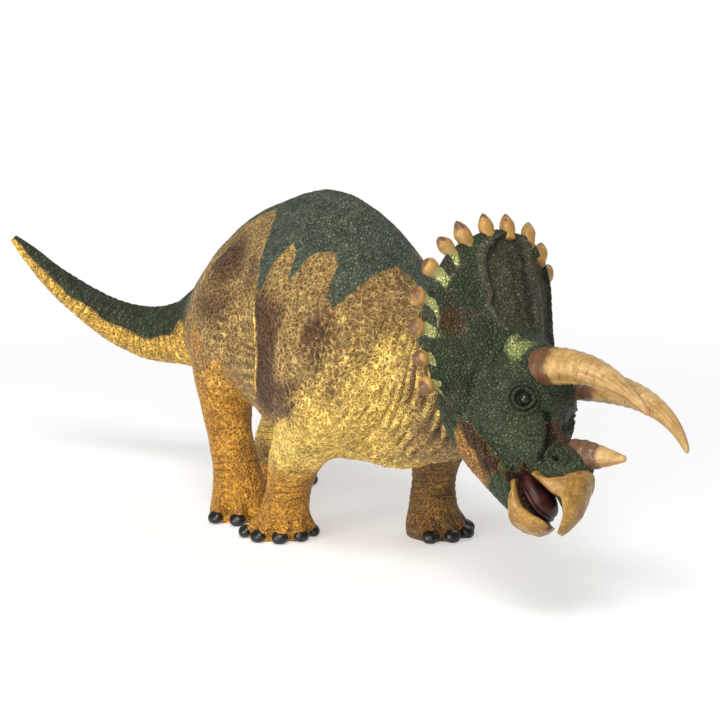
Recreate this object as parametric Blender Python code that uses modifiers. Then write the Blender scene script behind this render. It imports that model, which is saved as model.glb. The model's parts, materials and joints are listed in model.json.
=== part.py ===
# Toy dinosaur figure: a three-horned dinosaur that stands with its head lowered and its tail swung aside.
# It is moulded in vinyl as a hollow trunk with a neck, and limbs, a tail, a head, a jaw, a tongue and horns
# that plug into each other and are glued. Nothing on it moves.
# +X is the way the trunk faces, +Y is the animal's left, +Z is up, and the soles stand at Z = 0.

import math

import bmesh
import bpy
import numpy as np
from mathutils import Euler, Matrix, Vector

# Trunk
BACK_HEIGHT = 0.1045  # floor to the top of the back
TRUNK_LENGTH = 0.160  # root of the tail to the end of the neck
TRUNK_WIDTH = 0.064
TRUNK_WALL = 0.0045
RUMP_ROUNDING = 0.009  # how far the rump bulges past the tail's root
NECK_ROUNDING = 0.005
FOLD_DEPTH = 0.0014  # how far the skin is drawn in at the deepest fold of the neck
FOLD_SPACING = 0.0180  # from fold to fold along the trunk

# Tail
TAIL_RUN = 0.056  # how far the tip lies behind the root
TAIL_SWING = 0.043  # how far the tip lies to the animal's right
TAIL_RISE = 0.026  # how far the tip lies above the root
TAIL_THICKNESS = 0.0262  # at the root
TAIL_TIP_WIDTH = 0.0026

# Legs
HIND_LEG_THICKNESS = 0.036  # thigh, front to back
HIND_LEG_WIDTH = 0.022  # thigh, side to side
HIND_STRIDE = 0.026  # right hind sole ahead of the left one
HIND_TRACK = 0.035  # between the middles of the hind soles
FORE_LEG_THICKNESS = 0.030
FORE_LEG_WIDTH = 0.022
FORE_STRIDE = 0.027  # left fore sole ahead of the right one
FORE_TRACK = 0.039
TOE_WIDTH = 0.0062
TOE_HEIGHT = 0.0068
TOE_LENGTH = 0.0085
NAIL_WIDTH = 0.0046
NAIL_HEIGHT = 0.0042
NAIL_LENGTH = 0.0051

# Head, measured along the skull: forward to the beak, to its left and up
SKULL_LENGTH = 0.060  # middle of the frill's root to the beak's tip
SKULL_DEPTH = 0.035  # crown to the bottom of the jaw
SKULL_WIDTH = 0.033  # across the cheeks
JAW_WIDTH = 0.021
HEAD_PITCH = 34.9  # degrees, beak down
HEAD_YAW = 10.7  # degrees, to the animal's right
HEAD_ROLL = 39.0  # degrees, left side down
FRILL_WIDTH = 0.0600
FRILL_SWEEP = 0.0264  # root of the frill to its rear edge
FRILL_DEPTH = 0.0348  # top edge of the frill to its lower corners
FRILL_THICKNESS = 0.0034
FRILL_HOLLOW = 0.0020  # how deep each side of the frill is dished
SPIKE_LENGTH = 0.0058
SPIKE_WIDTH = 0.0054
SPIKES_EACH_SIDE = 9
SPIKE_CENTRE_SHARE = 0.35  # the place between the frill's root and rim that every spike points away from
BROW_HORN_LENGTH = 0.0400  # straight from root to tip
BROW_HORN_WIDTH = 0.0108
BROW_HORN_SPREAD = 0.0165  # between the roots of the pair
BROW_HORN_ARCH = 0.0048  # how far the horn bows up from the straight
NOSE_HORN_LENGTH = 0.0138
NOSE_HORN_WIDTH = 0.0085
HORN_TIP_WIDTH = 0.0016
HORN_SEAT_DEPTH = 0.0030  # how deep a horn stands in its socket
EYE_WIDTH = 0.0040
EYELID_WIDTH = 0.0100
NOSTRIL_WIDTH = 0.0022
NOSTRIL_DEPTH = 0.0016
BEAK_STEP = 0.0004  # how far the horny beak stands proud of the skin
TONGUE_WIDTH = 0.0090
TONGUE_LENGTH = 0.0160
TONGUE_THICKNESS = 0.0040

# Plugs, sockets and glue lines
SEAM_GAP = 0.0003  # between glued faces, and round a plug in its socket
LIMB_PLUG_WIDTH = 0.0110
TAIL_PLUG_WIDTH = 0.0120
PLUG_REACH = 0.0030  # how far a plug stands past the trunk's wall
SOCKET_OVERRUN = 0.0050  # how far a socket's cutter runs on into the hollow
FLOOR_DEPTH = 0.0500  # slab that cuts the soles flat

# Rows of the trunk, from the tail's root to the neck: place along it as a share of its length, sideways shift
# as a share of its width, then the middle's height, half width, reach up and reach down as shares
TRUNK_ROW_SHARES = (
    (-0.435, 0.000, 0.497, 0.185, 0.130, 0.135),
    (-0.370, 0.000, 0.500, 0.270, 0.242, 0.150),
    (-0.260, 0.000, 0.500, 0.355, 0.385, 0.172),
    (-0.110, 0.000, 0.490, 0.465, 0.482, 0.232),
    (0.020, 0.000, 0.485, 0.500, 0.515, 0.252),
    (0.140, 0.000, 0.490, 0.465, 0.445, 0.242),
    (0.250, 0.000, 0.510, 0.385, 0.292, 0.240),
    (0.350, -0.010, 0.550, 0.310, 0.186, 0.225),
    (0.442, -0.016, 0.588, 0.240, 0.142, 0.165),
    (0.503, -0.014, 0.597, 0.160, 0.098, 0.110),
)
# How deep the folds are, from the rump to the neck: place as a share of the trunk's length, depth as a share
FOLD_ROW_SHARES = (
    (-0.435, 0.0),
    (-0.330, 0.9),
    (-0.200, 0.6),
    (0.000, 0.3),
    (0.180, 0.7),
    (0.340, 1.0),
    (0.440, 0.7),
    (0.503, 0.0),
)
TRUNK_PEAK = 1.35  # how much narrower the back is than a round one
TRUNK_HOLLOW_ROWS = 8  # the neck beyond these rows is solid
NECK_SEAT_SHARES = (0.080, 0.000, -0.430)  # where the neck ends in the skull, as shares of the skull's sizes

# Rows of the tail: run, swing and rise as shares of the tail's, then thickness as a share
TAIL_ROW_SHARES = (
    (-0.200, 0.000, 0.080, 1.000),
    (0.000, 0.000, 0.000, 0.920),
    (0.180, 0.080, -0.150, 0.790),
    (0.420, 0.260, -0.180, 0.640),
    (0.620, 0.470, 0.000, 0.500),
    (0.820, 0.720, 0.400, 0.340),
    (0.940, 0.890, 0.760, 0.210),
)

# Rows of a leg: place between hip and sole, bend forward and outward as shares of the hip's height, then half
# width, reach forward and reach back as shares of the leg's width and thickness
HIND_LEG_ROW_SHARES = (
    (-0.26, -0.02, -0.06, 0.280, 0.300, 0.280),
    (-0.08, 0.00, 0.01, 0.440, 0.460, 0.440),
    (0.12, 0.00, 0.02, 0.465, 0.440, 0.410),
    (0.32, -0.02, 0.00, 0.390, 0.310, 0.300),
    (0.50, -0.07, 0.00, 0.330, 0.220, 0.240),
    (0.64, -0.12, 0.00, 0.315, 0.215, 0.225),
    (0.76, -0.12, 0.00, 0.335, 0.235, 0.235),
    (0.88, -0.07, 0.00, 0.390, 0.255, 0.260),
    (0.97, 0.00, 0.00, 0.420, 0.258, 0.285),
    (1.08, 0.00, 0.00, 0.410, 0.250, 0.280),
)
FORE_LEG_ROW_SHARES = (
    (-0.26, 0.06, -0.06, 0.300, 0.280, 0.300),
    (-0.06, 0.05, 0.01, 0.440, 0.450, 0.460),
    (0.14, -0.02, 0.04, 0.490, 0.480, 0.480),
    (0.32, -0.12, 0.05, 0.430, 0.350, 0.420),
    (0.48, -0.15, 0.03, 0.340, 0.240, 0.310),
    (0.64, -0.13, 0.00, 0.300, 0.210, 0.255),
    (0.77, -0.08, 0.00, 0.325, 0.220, 0.260),
    (0.89, -0.03, 0.00, 0.380, 0.260, 0.280),
    (0.97, 0.00, 0.00, 0.405, 0.280, 0.285),
    (1.10, 0.00, 0.00, 0.395, 0.270, 0.275),
)
HIND_TOE_ANGLES = (-62.0, -21.0, 21.0, 62.0)  # degrees from the foot's own heading
FORE_TOE_ANGLES = (-76.0, -38.0, 0.0, 38.0, 76.0)
HIND_LEG_BEND_SHARES = {"right": 0.0, "left": 1.0}  # how much of the table's bend forward each leg takes
FORE_LEG_BEND_SHARES = {"right": 1.0, "left": 0.65}
HIND_FOOT_TURN = 15.0  # degrees that a foot is turned outward
FORE_FOOT_TURN = 32.0
# The hip, the shoulder and the middle between each pair of soles, as shares of the trunk's length, width
# and height
HIP_SHARES = (-0.180, 0.305, 0.550)
SHOULDER_SHARES = (0.215, 0.300, 0.460)
HIND_MIDDLE_SHARES = (-0.256, 0.010)
FORE_MIDDLE_SHARES = (0.060, 0.022)

# Rows of the skull: forward share, crown and underside as shares of its depth, half width as a share
SKULL_ROW_SHARES = (
    (-0.080, -0.120, -0.780, 0.400),
    (0.020, 0.020, -0.900, 0.480),
    (0.160, 0.080, -0.920, 0.510),
    (0.300, 0.080, -0.890, 0.490),
    (0.420, -0.020, -0.800, 0.440),
    (0.530, -0.100, -0.680, 0.370),
    (0.640, -0.110, -0.580, 0.310),
    (0.740, -0.090, -0.520, 0.270),
    (0.820, -0.120, -0.490, 0.240),
    (0.890, -0.220, -0.490, 0.190),
    (0.950, -0.330, -0.500, 0.130),
    (0.990, -0.440, -0.535, 0.060),
)
# Rows of the jaw: forward share, top and underside as shares of the skull's depth, half width of the jaw's
JAW_ROW_SHARES = (
    (0.260, -0.660, -0.940, 0.440),
    (0.400, -0.600, -0.930, 0.500),
    (0.560, -0.560, -0.890, 0.500),
    (0.700, -0.560, -0.850, 0.470),
    (0.810, -0.585, -0.830, 0.430),
    (0.900, -0.595, -0.800, 0.320),
    (0.955, -0.580, -0.730, 0.190),
    (0.980, -0.570, -0.660, 0.080),
)
# The frill's root and rim on one side, from the middle to the lower corner: forward as a share of the sweep,
# across as a share of the width, up as a share of the depth
FRILL_ROOT_SHARES = (
    (0.12, 0.000, -0.020),
    (0.20, -0.110, -0.050),
    (0.28, -0.190, -0.130),
    (0.36, -0.250, -0.260),
    (0.44, -0.280, -0.420),
    (0.56, -0.290, -0.580),
    (0.68, -0.280, -0.700),
)
FRILL_RIM_SHARES = (
    (-0.98, 0.000, 0.330),
    (-0.95, -0.140, 0.280),
    (-0.91, -0.255, 0.190),
    (-0.84, -0.340, 0.050),
    (-0.72, -0.410, -0.065),
    (-0.50, -0.470, -0.210),
    (-0.25, -0.500, -0.370),
    (0.04, -0.500, -0.485),
    (0.31, -0.475, -0.580),
    (0.53, -0.430, -0.660),
)

# Rows of a spike: place from the rim as a share of its length, thickness as a share of its width
SPIKE_ROW_SHARES = ((-0.55, 0.95), (0.05, 1.00), (0.45, 0.78), (0.80, 0.46))

# Places on the head: forward as a share of the skull's length, up as a share of its depth
BROW_HORN_ROOT_SHARES = (0.315, 0.020)
NOSE_HORN_ROOT_SHARES = (0.730, -0.110)
EYE_SHARES = (0.430, -0.220)
NOSTRIL_SHARES = (0.750, -0.240)
TONGUE_SHARES = (0.800, 0.000, -0.545)
# Where a horn's tip lies from its root as shares of its length, and the way that it bows as shares of its arch
BROW_HORN_LEAN_SHARES = {"right": (0.845, -0.020, 0.480), "left": (0.915, 0.080, 0.455)}
BROW_HORN_BOW_SHARES = (-0.350, 0.450, 0.800)
NOSE_HORN_LEAN_SHARES = (0.680, 0.000, 0.733)
BEAK_START_SHARE = 0.800
SNOUT_TAPER = 14.0  # degrees between the side of the face and straight ahead

TRUNK_COLOUR = (0.32, 0.22, 0.06, 1)
GREEN_COLOUR = (0.030, 0.085, 0.050, 1)
LEG_COLOUR = (0.42, 0.28, 0.06, 1)
HORN_COLOUR = (0.50, 0.30, 0.10, 1)
MOUTH_COLOUR = (0.10, 0.012, 0.012, 1)

for old in list(bpy.data.objects):
    bpy.data.objects.remove(old, do_unlink=True)


def collection(name):
    made = bpy.data.collections.new(name)
    bpy.context.scene.collection.children.link(made)
    return made


figure = collection("toy_dinosaur")
cutters = collection("cutters")


def paint(name, colour, roughness):
    """Material of one moulding."""
    made = bpy.data.materials.new(name)
    made.use_nodes = True
    shader = made.node_tree.nodes["Principled BSDF"]
    shader.inputs["Base Color"].default_value = colour
    shader.inputs["Roughness"].default_value = roughness
    shader.inputs["Metallic"].default_value = 0
    return made


def place(mesh, name, group, material=None, matrix=None):
    """Object for a mesh, in a collection, shaded smooth where it is round."""
    mesh.shade_smooth()
    mesh.set_sharp_from_angle(angle=math.radians(50))
    made = bpy.data.objects.new(name, mesh)
    group.objects.link(made)
    if material:
        mesh.materials.append(material)
    if matrix:
        made.matrix_world = matrix
    if group is cutters:
        made.hide_render = True
        made.display_type = "WIRE"
    return made


def boolean(piece, tool, operation, solver="EXACT"):
    """Joins or cuts a piece with a closed tool. Legs, whose toes and claws crowd together, take MANIFOLD."""
    step = piece.modifiers.new(tool.name, "BOOLEAN")
    step.operation = operation
    step.solver = solver
    step.object = tool


def smoothed(rows, steps):
    """Points of a Catmull-Rom curve through the rows, a number at a time."""
    rows = np.array(rows, float)
    ends = np.vstack([2 * rows[0] - rows[1], rows, 2 * rows[-1] - rows[-2]])
    at = np.linspace(0, len(rows) - 1, steps + 1)
    first = np.minimum(at.astype(int), len(rows) - 2)
    t = (at - first)[:, None]
    a, b, c, d = (ends[first + k] for k in range(4))
    return 0.5 * (2 * b + (c - a) * t + (2 * a - 5 * b + 4 * c - d) * t**2 + (3 * b - a - 3 * c + d) * t**3)


def unit(vectors):
    return vectors / np.linalg.norm(vectors, axis=-1, keepdims=True)


def ring_faces(rings, around):
    """Faces between neighbouring rings of points, and fans to the two tips that follow the last ring."""
    faces = []
    for ring in range(rings - 1):
        here, ahead = ring * around, (ring + 1) * around
        for k in range(around):
            n = (k + 1) % around
            faces.append((here + k, here + n, ahead + n, ahead + k))
    last = (rings - 1) * around
    for k in range(around):
        n = (k + 1) % around
        faces.append((rings * around, n, k))
        faces.append((rings * around + 1, last + k, last + n))
    return faces


def loft(name, rows, up, around, steps, domes=(0, 0), grow=0, peak=1, dome_rings=3, folds=None):
    """Closed mesh round a bent middle line.

    A row holds the middle's x, y and z, the half width, the reach towards up and the reach away from it.
    Each section is four quarter ellipses, the upper two drawn in by peak. A dome closes an end, that far
    past the last section, and grow moves the whole skin outwards. Folds, a function of the middle line,
    draws the sides and the underside in.
    """
    table = smoothed(rows, steps)
    middle, sizes = table[:, :3], table[:, 3:] + grow
    if folds:
        sizes = sizes - folds(middle)[:, None] * (1, 0, 1)
    along = unit(np.gradient(middle, axis=0))
    reach_on = [dome + grow if dome else 0 for dome in domes]
    first_tip, last_tip = middle[0] - along[0] * reach_on[0], middle[-1] + along[-1] * reach_on[1]
    angle = np.linspace(0, math.pi / 2, dome_rings + 1)[1:-1, None]
    if domes[0]:
        back = angle[::-1]
        middle = np.vstack([middle[:1] - along[:1] * np.sin(back) * reach_on[0], middle])
        sizes = np.vstack([sizes[:1] * np.cos(back), sizes])
        along = np.vstack([np.repeat(along[:1], len(back), 0), along])
    if domes[1]:
        middle = np.vstack([middle, middle[-1:] + along[-1:] * np.sin(angle) * reach_on[1]])
        sizes = np.vstack([sizes, sizes[-1:] * np.cos(angle)])
        along = np.vstack([along, np.repeat(along[-1:], len(angle), 0)])
    side = unit(np.cross(np.array(up, float), along))
    lift = np.cross(along, side)
    turn = np.linspace(0, 2 * math.pi, around, endpoint=False)
    reach = np.where(np.sin(turn) >= 0, sizes[:, 1:2], sizes[:, 2:3])
    across = np.where(np.sin(turn) > 0, np.sign(np.cos(turn)) * np.abs(np.cos(turn)) ** peak, np.cos(turn))
    skin = (
        middle[:, None]
        + side[:, None] * (sizes[:, :1] * across)[..., None]
        + lift[:, None] * (reach * np.sin(turn))[..., None]
    )
    points = [*skin.reshape(-1, 3), first_tip, last_tip]
    mesh = bpy.data.meshes.new(name)
    mesh.from_pydata([tuple(point) for point in points], [], ring_faces(len(skin), around))
    return mesh


def rod(name, width, start, end, sides=16):
    """Closed cylinder between two points."""
    start, end = Vector(start), Vector(end)
    mesh = bpy.data.meshes.new(name)
    shape = bmesh.new()
    bmesh.ops.create_cone(
        shape, cap_ends=True, segments=sides, radius1=width / 2, radius2=width / 2, depth=(end - start).length
    )
    turn = (end - start).to_track_quat("Z", "Y").to_matrix().to_4x4()
    bmesh.ops.transform(shape, matrix=Matrix.Translation((start + end) / 2) @ turn, verts=shape.verts)
    shape.to_mesh(mesh)
    shape.free()
    return mesh


def egg(name, middle, sizes, heading=0.0, segments=8):
    """Ellipsoid with the given full sizes, turned about Z by its heading."""
    mesh = bpy.data.meshes.new(name)
    shape = bmesh.new()
    bmesh.ops.create_uvsphere(shape, u_segments=segments, v_segments=segments // 2 + 1, radius=0.5)
    turn = Matrix.Rotation(math.radians(heading), 4, "Z")
    scale = Matrix.Diagonal((*sizes, 1))
    bmesh.ops.transform(shape, matrix=Matrix.Translation(middle) @ turn @ scale, verts=shape.verts)
    shape.to_mesh(mesh)
    shape.free()
    return mesh


def trunk_rows():
    sizes = (TRUNK_LENGTH, TRUNK_WIDTH, BACK_HEIGHT, TRUNK_WIDTH, BACK_HEIGHT, BACK_HEIGHT)
    return [tuple(share * size for share, size in zip(row, sizes)) for row in TRUNK_ROW_SHARES]


def trunk_folds(middle):
    """How far the skin is drawn in along the trunk: a cosine wave, as deep at each place as its row says."""
    along = middle[:, 0]
    places, depths = np.array(FOLD_ROW_SHARES).T
    depth = np.interp(along, places * TRUNK_LENGTH, depths) * FOLD_DEPTH
    return depth * (1 - np.cos(2 * math.pi * along / FOLD_SPACING)) / 2


def trunk_mesh(name, grow=0, hollow=False):
    """The trunk's skin, or the hollow inside it."""
    rows = trunk_rows()[:TRUNK_HOLLOW_ROWS] if hollow else trunk_rows()
    domes = (RUMP_ROUNDING, NECK_ROUNDING)
    if hollow:
        return loft(name, rows, (0, 0, 1), 16, 8, (RUMP_ROUNDING, RUMP_ROUNDING), grow, TRUNK_PEAK)
    return loft(name, rows, (0, 0, 1), 28, 31, domes, grow, TRUNK_PEAK, folds=trunk_folds)


def flank(x, z):
    """Half width of the trunk's skin at a place along it and a height."""
    table = smoothed(trunk_rows(), 200)
    middle, half, up, down = (np.interp(x, table[:, 0], table[:, k]) for k in (2, 3, 4, 5))
    lean = (z - middle) / (up if z > middle else down)
    return half * math.sqrt(max(1 - lean**2, 0)) ** (TRUNK_PEAK if z > middle else 1)


trunk_skin_grown = place(trunk_mesh("trunk_clearance", SEAM_GAP), "trunk_clearance", cutters)


def make_trunk(sockets):
    trunk = place(trunk_mesh("trunk"), "trunk", figure, paint("painted hide", TRUNK_COLOUR, 0.55))
    hollow = place(trunk_mesh("trunk_hollow", -TRUNK_WALL, True), "trunk_hollow", cutters)
    boolean(trunk, hollow, "DIFFERENCE")
    for socket in sockets:
        boolean(trunk, socket, "DIFFERENCE")
    return trunk


def leg_rows(hip, sole, row_shares, width, thickness, outward, bend):
    """Rows down a leg, from the hip to just under the sole."""
    hip, sole = Vector(hip), Vector(sole)
    rows = []
    for down, forward, out, half, front, back in row_shares:
        middle = hip.lerp(sole, down) + Vector((forward * bend, out * outward, 0)) * hip.z
        rows.append((*middle, half * width, front * thickness, back * thickness))
    return rows


def make_leg(name, hip_shares, sole, row_shares, width, thickness, toe_angles, bend):
    """One leg with its toes and nails, seated on the trunk's flank by a plug, and the plug's socket."""
    outward = 1 if sole[1] > 0 else -1
    x, z = hip_shares[0] * TRUNK_LENGTH, hip_shares[2] * BACK_HEIGHT
    hip = (x, hip_shares[1] * TRUNK_WIDTH * outward, z)
    rows = leg_rows(hip, sole, row_shares, width, thickness, outward, bend)
    leg = place(loft(name, rows, (1, 0, 0), 16, 15, (thickness / 4, 0)), name, figure, leg_paint)
    boolean(leg, trunk_skin_grown, "DIFFERENCE", "MANIFOLD")
    seat, outside = flank(x, z), abs(hip[1]) + width / 2
    plug_end = Vector((x, (seat + outside) / 2 * outward, z))
    plug_start = Vector((x, (seat - TRUNK_WALL - PLUG_REACH) * outward, z))
    plug = place(rod(name + "_plug", LIMB_PLUG_WIDTH, plug_start, plug_end), name + "_plug", cutters)
    boolean(leg, plug, "UNION", "MANIFOLD")
    socket_start = plug_start - (plug_end - plug_start).normalized() * SOCKET_OVERRUN
    socket = rod(name + "_socket", LIMB_PLUG_WIDTH + 2 * SEAM_GAP, socket_start, plug_end)
    socket = place(socket, name + "_socket", cutters)
    foot_half, foot_front = row_shares[-2][3] * width, row_shares[-2][4] * thickness
    for number, angle in enumerate(toe_angles):
        ahead = Vector((math.cos(math.radians(angle)), math.sin(math.radians(angle)), 0))
        edge = Vector(sole) + Vector((ahead.x * foot_front, ahead.y * foot_half, 0))
        toe_at = edge - ahead * TOE_LENGTH * 0.36 + Vector((0, 0, TOE_HEIGHT * 0.4))
        nail_at = edge + ahead * TOE_LENGTH / 8 + Vector((0, 0, NAIL_HEIGHT * 0.45))
        toe = egg("toe", toe_at, (TOE_LENGTH, TOE_WIDTH, TOE_HEIGHT), angle)
        nail = egg("nail", nail_at, (NAIL_LENGTH, NAIL_WIDTH, NAIL_HEIGHT), angle)
        boolean(leg, place(toe, f"{name}_toe_{number}", cutters), "UNION", "MANIFOLD")
        boolean(leg, place(nail, f"{name}_nail_{number}", cutters), "UNION", "MANIFOLD")
    boolean(leg, floor_cutter, "DIFFERENCE", "MANIFOLD")
    return socket


def tail_rows():
    root = Vector((TRUNK_ROW_SHARES[0][0] * TRUNK_LENGTH, 0, TRUNK_ROW_SHARES[0][2] * BACK_HEIGHT))
    rows = []
    for run, swing, rise, thick in TAIL_ROW_SHARES:
        middle = root + Vector((-run * TAIL_RUN, -swing * TAIL_SWING, rise * TAIL_RISE))
        half = thick * TAIL_THICKNESS / 2
        rows.append((*middle, half, half, half))
    tip = root + Vector((-TAIL_RUN, -TAIL_SWING, TAIL_RISE))
    rows.append((*tip, TAIL_TIP_WIDTH / 2, TAIL_TIP_WIDTH / 2, TAIL_TIP_WIDTH / 2))
    return rows


def make_tail():
    """The tail, which seats on the rump by a plug, and the plug's socket."""
    rows = tail_rows()
    tail = loft("tail", rows, (0, 0, 1), 16, 20, (0, TAIL_TIP_WIDTH / 2))
    tail = place(tail, "tail", figure, paint("painted tail", GREEN_COLOUR, 0.5))
    boolean(tail, trunk_skin_grown, "DIFFERENCE")
    root, behind = Vector(rows[1][:3]), Vector(rows[2][:3])
    inward = (root - behind).normalized()
    start = root + inward * (PLUG_REACH + TRUNK_WALL)
    plug = place(rod("tail_plug", TAIL_PLUG_WIDTH, start, behind), "tail_plug", cutters)
    boolean(tail, plug, "UNION")
    socket = rod("tail_socket", TAIL_PLUG_WIDTH + 2 * SEAM_GAP, start + inward * SOCKET_OVERRUN, behind)
    return place(socket, "tail_socket", cutters)


def on_head(forward, across, up):
    """A place on the head, from shares of the skull's length, width and depth."""
    return Vector((forward * SKULL_LENGTH, across * SKULL_WIDTH, up * SKULL_DEPTH))


def band_rows(row_shares, width):
    """Rows of a part of the head from its top and underside."""
    rows = []
    for forward, top, under, half in row_shares:
        reach = (top - under) / 2 * SKULL_DEPTH
        rows.append((forward * SKULL_LENGTH, 0, (top + under) / 2 * SKULL_DEPTH, half * width, reach, reach))
    return rows


def jaw_mesh(name, grow=0):
    domes = (SKULL_WIDTH / 12, BEAK_STEP)
    return loft(name, band_rows(JAW_ROW_SHARES, JAW_WIDTH), (0, 0, 1), 14, 12, domes, grow)


def frill_lines(across):
    """Points of the frill's root and rim, from the right corner through the middle to the left one."""
    lines = []
    for shares in (FRILL_ROOT_SHARES, FRILL_RIM_SHARES):
        half = smoothed(shares, across) * (FRILL_SWEEP, FRILL_WIDTH, FRILL_DEPTH)
        lines.append(np.vstack([half[::-1], half[1:] * (1, -1, 1)]))
    return lines


def frill_mesh():
    """The frill as a dished sheet between its root and its rim, thickened afterwards."""
    across, towards = 12, 4
    root, rim = frill_lines(across)
    part = np.linspace(0, 1, towards + 1)[:, None, None]
    sheet = root * (1 - part) + rim * part
    down = unit(np.cross(np.gradient(sheet, axis=0), np.gradient(sheet, axis=1)))
    down *= np.sign(-down[..., 2:3].mean())
    side = np.abs(np.linspace(-1, 1, 2 * across + 1))[:, None]
    dish = np.sin(math.pi * part) * (1 - np.exp(-((side / 0.25) ** 2)))
    sheet = sheet + down * dish * FRILL_HOLLOW
    columns = sheet.shape[1]
    faces = []
    for i in range(towards):
        for k in range(columns - 1):
            a, b = i * columns + k, (i + 1) * columns + k
            faces.append((a, a + 1, b + 1, b))
    mesh = bpy.data.meshes.new("frill")
    mesh.from_pydata([tuple(point) for point in sheet.reshape(-1, 3)], [], faces)
    return mesh


def spikes_mesh(name, first):
    """Every other spike along the frill's rim, as one mesh of separate bodies.

    The spikes stand at even steps of the rim's rows, so further apart at its sides, and square to the rim.
    """
    steps_apart = 6
    root, rim = frill_lines(SPIKES_EACH_SIDE * steps_apart)
    along = unit(np.gradient(rim, axis=0))
    top = SPIKES_EACH_SIDE * steps_apart
    centre = root[top] + (rim[top] - root[top]) * SPIKE_CENTRE_SHARE
    shape = bmesh.new()
    for number in range(first, 2 * SPIKES_EACH_SIDE + 1, 2):
        at = number * steps_apart
        foot = rim[at]
        away = unit(foot - centre)
        outward = unit(away - along[at] * (away @ along[at]))
        rows = []
        for reach, thick in SPIKE_ROW_SHARES:
            half = thick * SPIKE_WIDTH / 2
            rows.append((*(foot + outward * reach * SPIKE_LENGTH), half, half, half))
        shape.from_mesh(loft("spike", rows, (0, 0, 1), 7, 3, (0, SPIKE_WIDTH / 6), dome_rings=1))
    mesh = bpy.data.meshes.new(name)
    shape.to_mesh(mesh)
    shape.free()
    return mesh


def horn_mesh(name, root, tip, width, arch, grow=0):
    """A horn that tapers from its seat in the skull to its tip and bows along arch."""
    rows = []
    for share in np.linspace(-HORN_SEAT_DEPTH / (tip - root).length, 1, 8):
        middle = root.lerp(tip, share) + arch * 4 * share * (1 - share)
        taper = max(share, 0) ** 1.3
        half = width / 2 * (1 - taper) + HORN_TIP_WIDTH / 2 * taper
        rows.append((*middle, half, half, half))
    return loft(name, rows, (0, 1, 0), 12, 11, (0, HORN_TIP_WIDTH / 2), grow, dome_rings=2)


def make_horn(name, root, tip, width, arch):
    """A horn, and the socket that it takes in the head."""
    place(horn_mesh(name, root, tip, width, arch), name, figure, horn_paint, head_place)
    socket = horn_mesh(name + "_socket", root, tip, width, arch, SEAM_GAP)
    boolean(head, place(socket, name + "_socket", cutters, None, head_place), "DIFFERENCE")


def cheek(forward, up):
    """Half width of the skull at a place along it and a height, all as shares."""
    table = smoothed(SKULL_ROW_SHARES, 200)
    top, under, half = (np.interp(forward, table[:, 0], table[:, k]) for k in (1, 2, 3))
    lean = (up - (top + under) / 2) / ((top - under) / 2)
    return half * math.sqrt(max(1 - lean**2, 0))


def skull_mesh(name, grow=0):
    domes = (SKULL_WIDTH / 8, BEAK_STEP)
    return loft(name, band_rows(SKULL_ROW_SHARES, SKULL_WIDTH), (0, 0, 1), 22, 20, domes, grow)


def floor_mesh(name):
    """Slab under the soles, wide enough for every foot."""
    mesh = bpy.data.meshes.new(name)
    shape = bmesh.new()
    bmesh.ops.create_cube(shape, size=1)
    spread = 4 * TRUNK_LENGTH
    slab = Matrix.Translation((0, 0, -FLOOR_DEPTH / 2)) @ Matrix.Diagonal((spread, spread, FLOOR_DEPTH, 1))
    bmesh.ops.transform(shape, matrix=slab, verts=shape.verts)
    shape.to_mesh(mesh)
    shape.free()
    return mesh


leg_paint = paint("painted leg", LEG_COLOUR, 0.55)
horn_paint = paint("painted horn", HORN_COLOUR, 0.35)
floor_cutter = place(floor_mesh("floor_cutter"), "floor_cutter", cutters)

sockets = [make_tail()]
for outward, side in ((-1, "right"), (1, "left")):
    middle = Vector((HIND_MIDDLE_SHARES[0] * TRUNK_LENGTH, HIND_MIDDLE_SHARES[1] * TRUNK_WIDTH, 0))
    sole = middle + Vector((-HIND_STRIDE, HIND_TRACK, 0)) * outward / 2
    angles = [angle + outward * HIND_FOOT_TURN for angle in HIND_TOE_ANGLES]
    size = (HIND_LEG_WIDTH, HIND_LEG_THICKNESS)
    shape = (HIND_LEG_ROW_SHARES, *size, angles, HIND_LEG_BEND_SHARES[side])
    sockets.append(make_leg("hind_leg_" + side, HIP_SHARES, sole, *shape))
    middle = Vector((FORE_MIDDLE_SHARES[0] * TRUNK_LENGTH, FORE_MIDDLE_SHARES[1] * TRUNK_WIDTH, 0))
    sole = middle + Vector((FORE_STRIDE, FORE_TRACK, 0)) * outward / 2
    angles = [angle + outward * FORE_FOOT_TURN for angle in FORE_TOE_ANGLES]
    size = (FORE_LEG_WIDTH, FORE_LEG_THICKNESS)
    shape = (FORE_LEG_ROW_SHARES, *size, angles, FORE_LEG_BEND_SHARES[side])
    sockets.append(make_leg("fore_leg_" + side, SHOULDER_SHARES, sole, *shape))
make_trunk(sockets)

# The head turns on the end of the neck
last = TRUNK_ROW_SHARES[-1]
neck_end = Vector((last[0] * TRUNK_LENGTH, last[1] * TRUNK_WIDTH, last[2] * BACK_HEIGHT))
turn = Euler((-math.radians(HEAD_ROLL), math.radians(HEAD_PITCH), -math.radians(HEAD_YAW))).to_matrix().to_4x4()
head_place = Matrix.Translation(neck_end) @ turn @ Matrix.Translation(-on_head(*NECK_SEAT_SHARES))

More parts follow.
